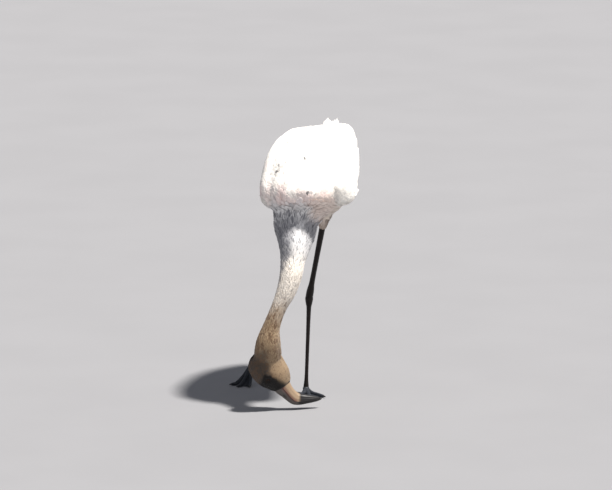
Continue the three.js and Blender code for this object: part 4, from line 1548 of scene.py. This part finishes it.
class FLAMINGO_OT_wing_rows(bpy.types.Operator):
    """Lays the rows of long feathers over the folded wings and the back."""
    bl_idname = "flamingo.wing_rows"
    bl_label = "Long wing feathers"

    def execute(self, context):
        look = context.scene.flamingo_coat
        hide = finished_hide()
        material = feather_finish("long_plumage", tone(0xB5ADA6), 1.0, 0.58)
        # (share along the wing, first and last angle, how many, length, width, colour share)
        rows = [(0.60, 96, -52, 13, 112, 24, 0.12), (0.50, 92, -58, 14, 92, 23, 0.08),
                (0.41, 90, -60, 15, 66, 21, 0.06)]
        for name, side in (("left", 1), ("right", -1)):
            coat = Coat(f"wing_{name}_long_feathers", 60 + side)
            flip = lambda angles: np.radians(angles) if side > 0 else np.pi - np.radians(angles)
            for t, first, last, count, length, width, dusk in rows:
                lay_row(coat, hide, look, WINGS[name], t, flip(np.linspace(first, last, count)),
                        length, width, "blade", dusk, 5.0)
            # the long feathers of the back that close the hollow between trunk and wing
            for t, length in ((0.66, 92), (0.6, 100), (0.53, 96)):
                lay_row(coat, hide, look, TRUNK, t, flip(np.linspace(34, 82, 7)), length, 19,
                        "lance", 0.05, 6.0)
            settle(coat.piece(material), "white_feathers")
        return {"FINISHED"}


class FLAMINGO_OT_plumes(bpy.types.Operator):
    """Makes the ruffled feathers that stand out of the back and the wing's edge."""
    bl_idname = "flamingo.plumes"
    bl_label = "Raised feathers"

    def execute(self, context):
        look = context.scene.flamingo_coat
        material = feather_finish("raised_plumage", tone(0x9A8F84), 0.9, 0.6)
        white = np.array(look.white)
        feathers = []
        for x, tip, width, reach in ((8, 2, 15, 1.0), (31, 2, 12, 0.98), (12, 1, 15, 0.94),
                                     (17, -1, 15, 0.9), (22, 2, 15, 0.89), (26, 1, 14, 0.93),
                                     (35, 4, 12, 0.88), (4, -3, 14, 0.87)):
            path = np.array([(x, 122, 612), (x, 134, 622), (x, 148, 642), (x + 1, 160, 655),
                             (x + tip, 170, 664)], float)
            path = path[0] + (path - path[0]) * reach
            normal = np.array([(0.1, -0.85, 0.5)] * 5)
            feathers.append((path, normal, width, "lance", white, white, 0.3))
        # a few coverts stand off the bend of the left wing
        for y, z, stand in ((-94, 521, 3), (-88, 526, 6)):
            share = np.linspace(0, 1, 5)[:, None]
            path = (np.array([116.0, y - 16, z]) + share * np.array([6.0, 30, 1])
                    + share**2 * np.array([stand, 2, -1]))
            normal = np.tile(unit(np.array([0.8, -0.3, 0.5])), (5, 1))
            feathers.append((path, normal, 15, "soft", white, white, 0.2))
        settle(fan_piece("raised_back_feathers", 70, feathers, material), "white_feathers",
               "plume_inner", "plume_outer")
        return {"FINISHED"}


# the camera's bearing and height over the level, the place it looks at, and the frame's scale
VIEW_AZIMUTH, VIEW_ELEVATION = math.radians(10), math.radians(10)
VIEW_TARGET = np.array([-20.1, 30.0, 369.0])
FRAME_WIDTH, PIXELS_PER_METRE = 612, 410
FLOOR_REACH = 4e4


class FLAMINGO_OT_stage(bpy.types.Operator):
    """Makes the floor, the lights and the camera."""
    bl_idname = "flamingo.stage"
    bl_label = "Stage"

    def execute(self, context):
        stage = context.scene.flamingo_stage
        scene = context.scene
        made = Finish("pale_floor", Specular_IOR_Level=0.2)
        cloud = made.noise(3.0, 4.0)
        colour = np.array(stage.floor)
        shade = made.blend(made.between(cloud, 0.3, 0.7), rgba(colour * 0.97), rgba(colour))
        corners = FLOOR_REACH * np.array([(-1, -1, 0), (1, -1, 0), (1, 1, 0), (-1, 1, 0)], float)
        floor = mesh_of("floor", corners - SHIFT * [1, 1, 0], [[0, 1, 2, 3]])
        floor.data.materials.append(made.finish(
            shade, made.between(cloud, 0.2, 0.8, 0.85, 0.95), cloud, 0.001, 0.1))
        back = np.array([math.sin(VIEW_AZIMUTH) * math.cos(VIEW_ELEVATION),
                         -math.cos(VIEW_AZIMUTH) * math.cos(VIEW_ELEVATION),
                         math.sin(VIEW_ELEVATION)])
        right = np.array([math.cos(VIEW_AZIMUTH), math.sin(VIEW_AZIMUTH), 0])
        target = (VIEW_TARGET + SHIFT) / 1000
        lens = bpy.data.cameras.new("camera")
        lens.sensor_width = 36
        lens.lens = lens.sensor_width * stage.camera_distance / (FRAME_WIDTH / PIXELS_PER_METRE)
        lens.clip_end = 200
        camera = bpy.data.objects.new("camera", lens)
        scene.collection.objects.link(camera)
        place = np.eye(4)
        place[:3, 0], place[:3, 1], place[:3, 2] = right, np.cross(back, right), back
        place[:3, 3] = target + back * stage.camera_distance
        camera.matrix_world = Matrix(place.tolist())
        scene.camera = camera
        level = unit(back * [1, 1, 0])
        # name, degrees to the camera's right, degrees up, strength, apparent size, colour
        for name, turn, height, strength, angle, colour in (
                ("key", 66, 68, stage.key, 5, (1.0, 0.965, 0.91)),
                ("fill", 12, 6, stage.fill, 60, (1.0, 0.97, 0.94))):
            turn, height = math.radians(turn), math.radians(height)
            towards = (level * math.cos(turn) + right * math.sin(turn)) * math.cos(height) + (
                Z * math.sin(height))
            lamp = bpy.data.lights.new(name, "SUN")
            lamp.energy, lamp.angle, lamp.color = strength, math.radians(angle), colour
            holder = bpy.data.objects.new(name, lamp)
            holder.rotation_euler = Vector(towards).to_track_quat("Z", "Y").to_euler()
            scene.collection.objects.link(holder)
        world = bpy.data.worlds.new("surround")
        world.use_nodes = True
        world.node_tree.nodes["Background"].inputs["Color"].default_value = (0.86, 0.9, 1.0, 1)
        world.node_tree.nodes["Background"].inputs["Strength"].default_value = stage.sky
        scene.world = world
        scene.view_settings.view_transform = "Standard"
        return {"FINISHED"}


MAKERS = (FLAMINGO_OT_stage, FLAMINGO_OT_skin, FLAMINGO_OT_coat, FLAMINGO_OT_wing_rows,
          FLAMINGO_OT_flight, FLAMINGO_OT_plumes, FLAMINGO_OT_eyes, FLAMINGO_OT_bill,
          FLAMINGO_OT_legs, FLAMINGO_OT_feet)
SETTINGS = {"flamingo_coat": CoatSettings, "flamingo_horn": HornSettings,
            "flamingo_stage": StageSettings}


class FLAMINGO_PT_panel(bpy.types.Panel):
    """Lists the makers of the flamingo's pieces"""
    bl_idname = "FLAMINGO_PT_panel"
    bl_label = "Flamingo"
    bl_space_type = "VIEW_3D"
    bl_region_type = "UI"
    bl_category = "Flamingo"

    def draw(self, context):
        for maker in MAKERS:
            self.layout.operator(maker.bl_idname)
        for group in SETTINGS:
            box = self.layout.box()
            settings = getattr(context.scene, group)
            for key in settings.bl_rna.properties.keys():
                if key not in ("rna_type", "name"):
                    box.prop(settings, key)


CLASSES = (*SETTINGS.values(), *MAKERS, FLAMINGO_PT_panel)


def register():
    for item in CLASSES:
        bpy.utils.register_class(item)
    for group, settings in SETTINGS.items():
        setattr(bpy.types.Scene, group, PointerProperty(type=settings))


def unregister():
    for group in SETTINGS:
        delattr(bpy.types.Scene, group)
    for item in reversed(CLASSES):
        bpy.utils.unregister_class(item)


def main():
    register()
    for maker in MAKERS:
        group, action = maker.bl_idname.split(".")
        getattr(getattr(bpy.ops, group), action)()
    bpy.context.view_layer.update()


if __name__ == "__main__":
    main()
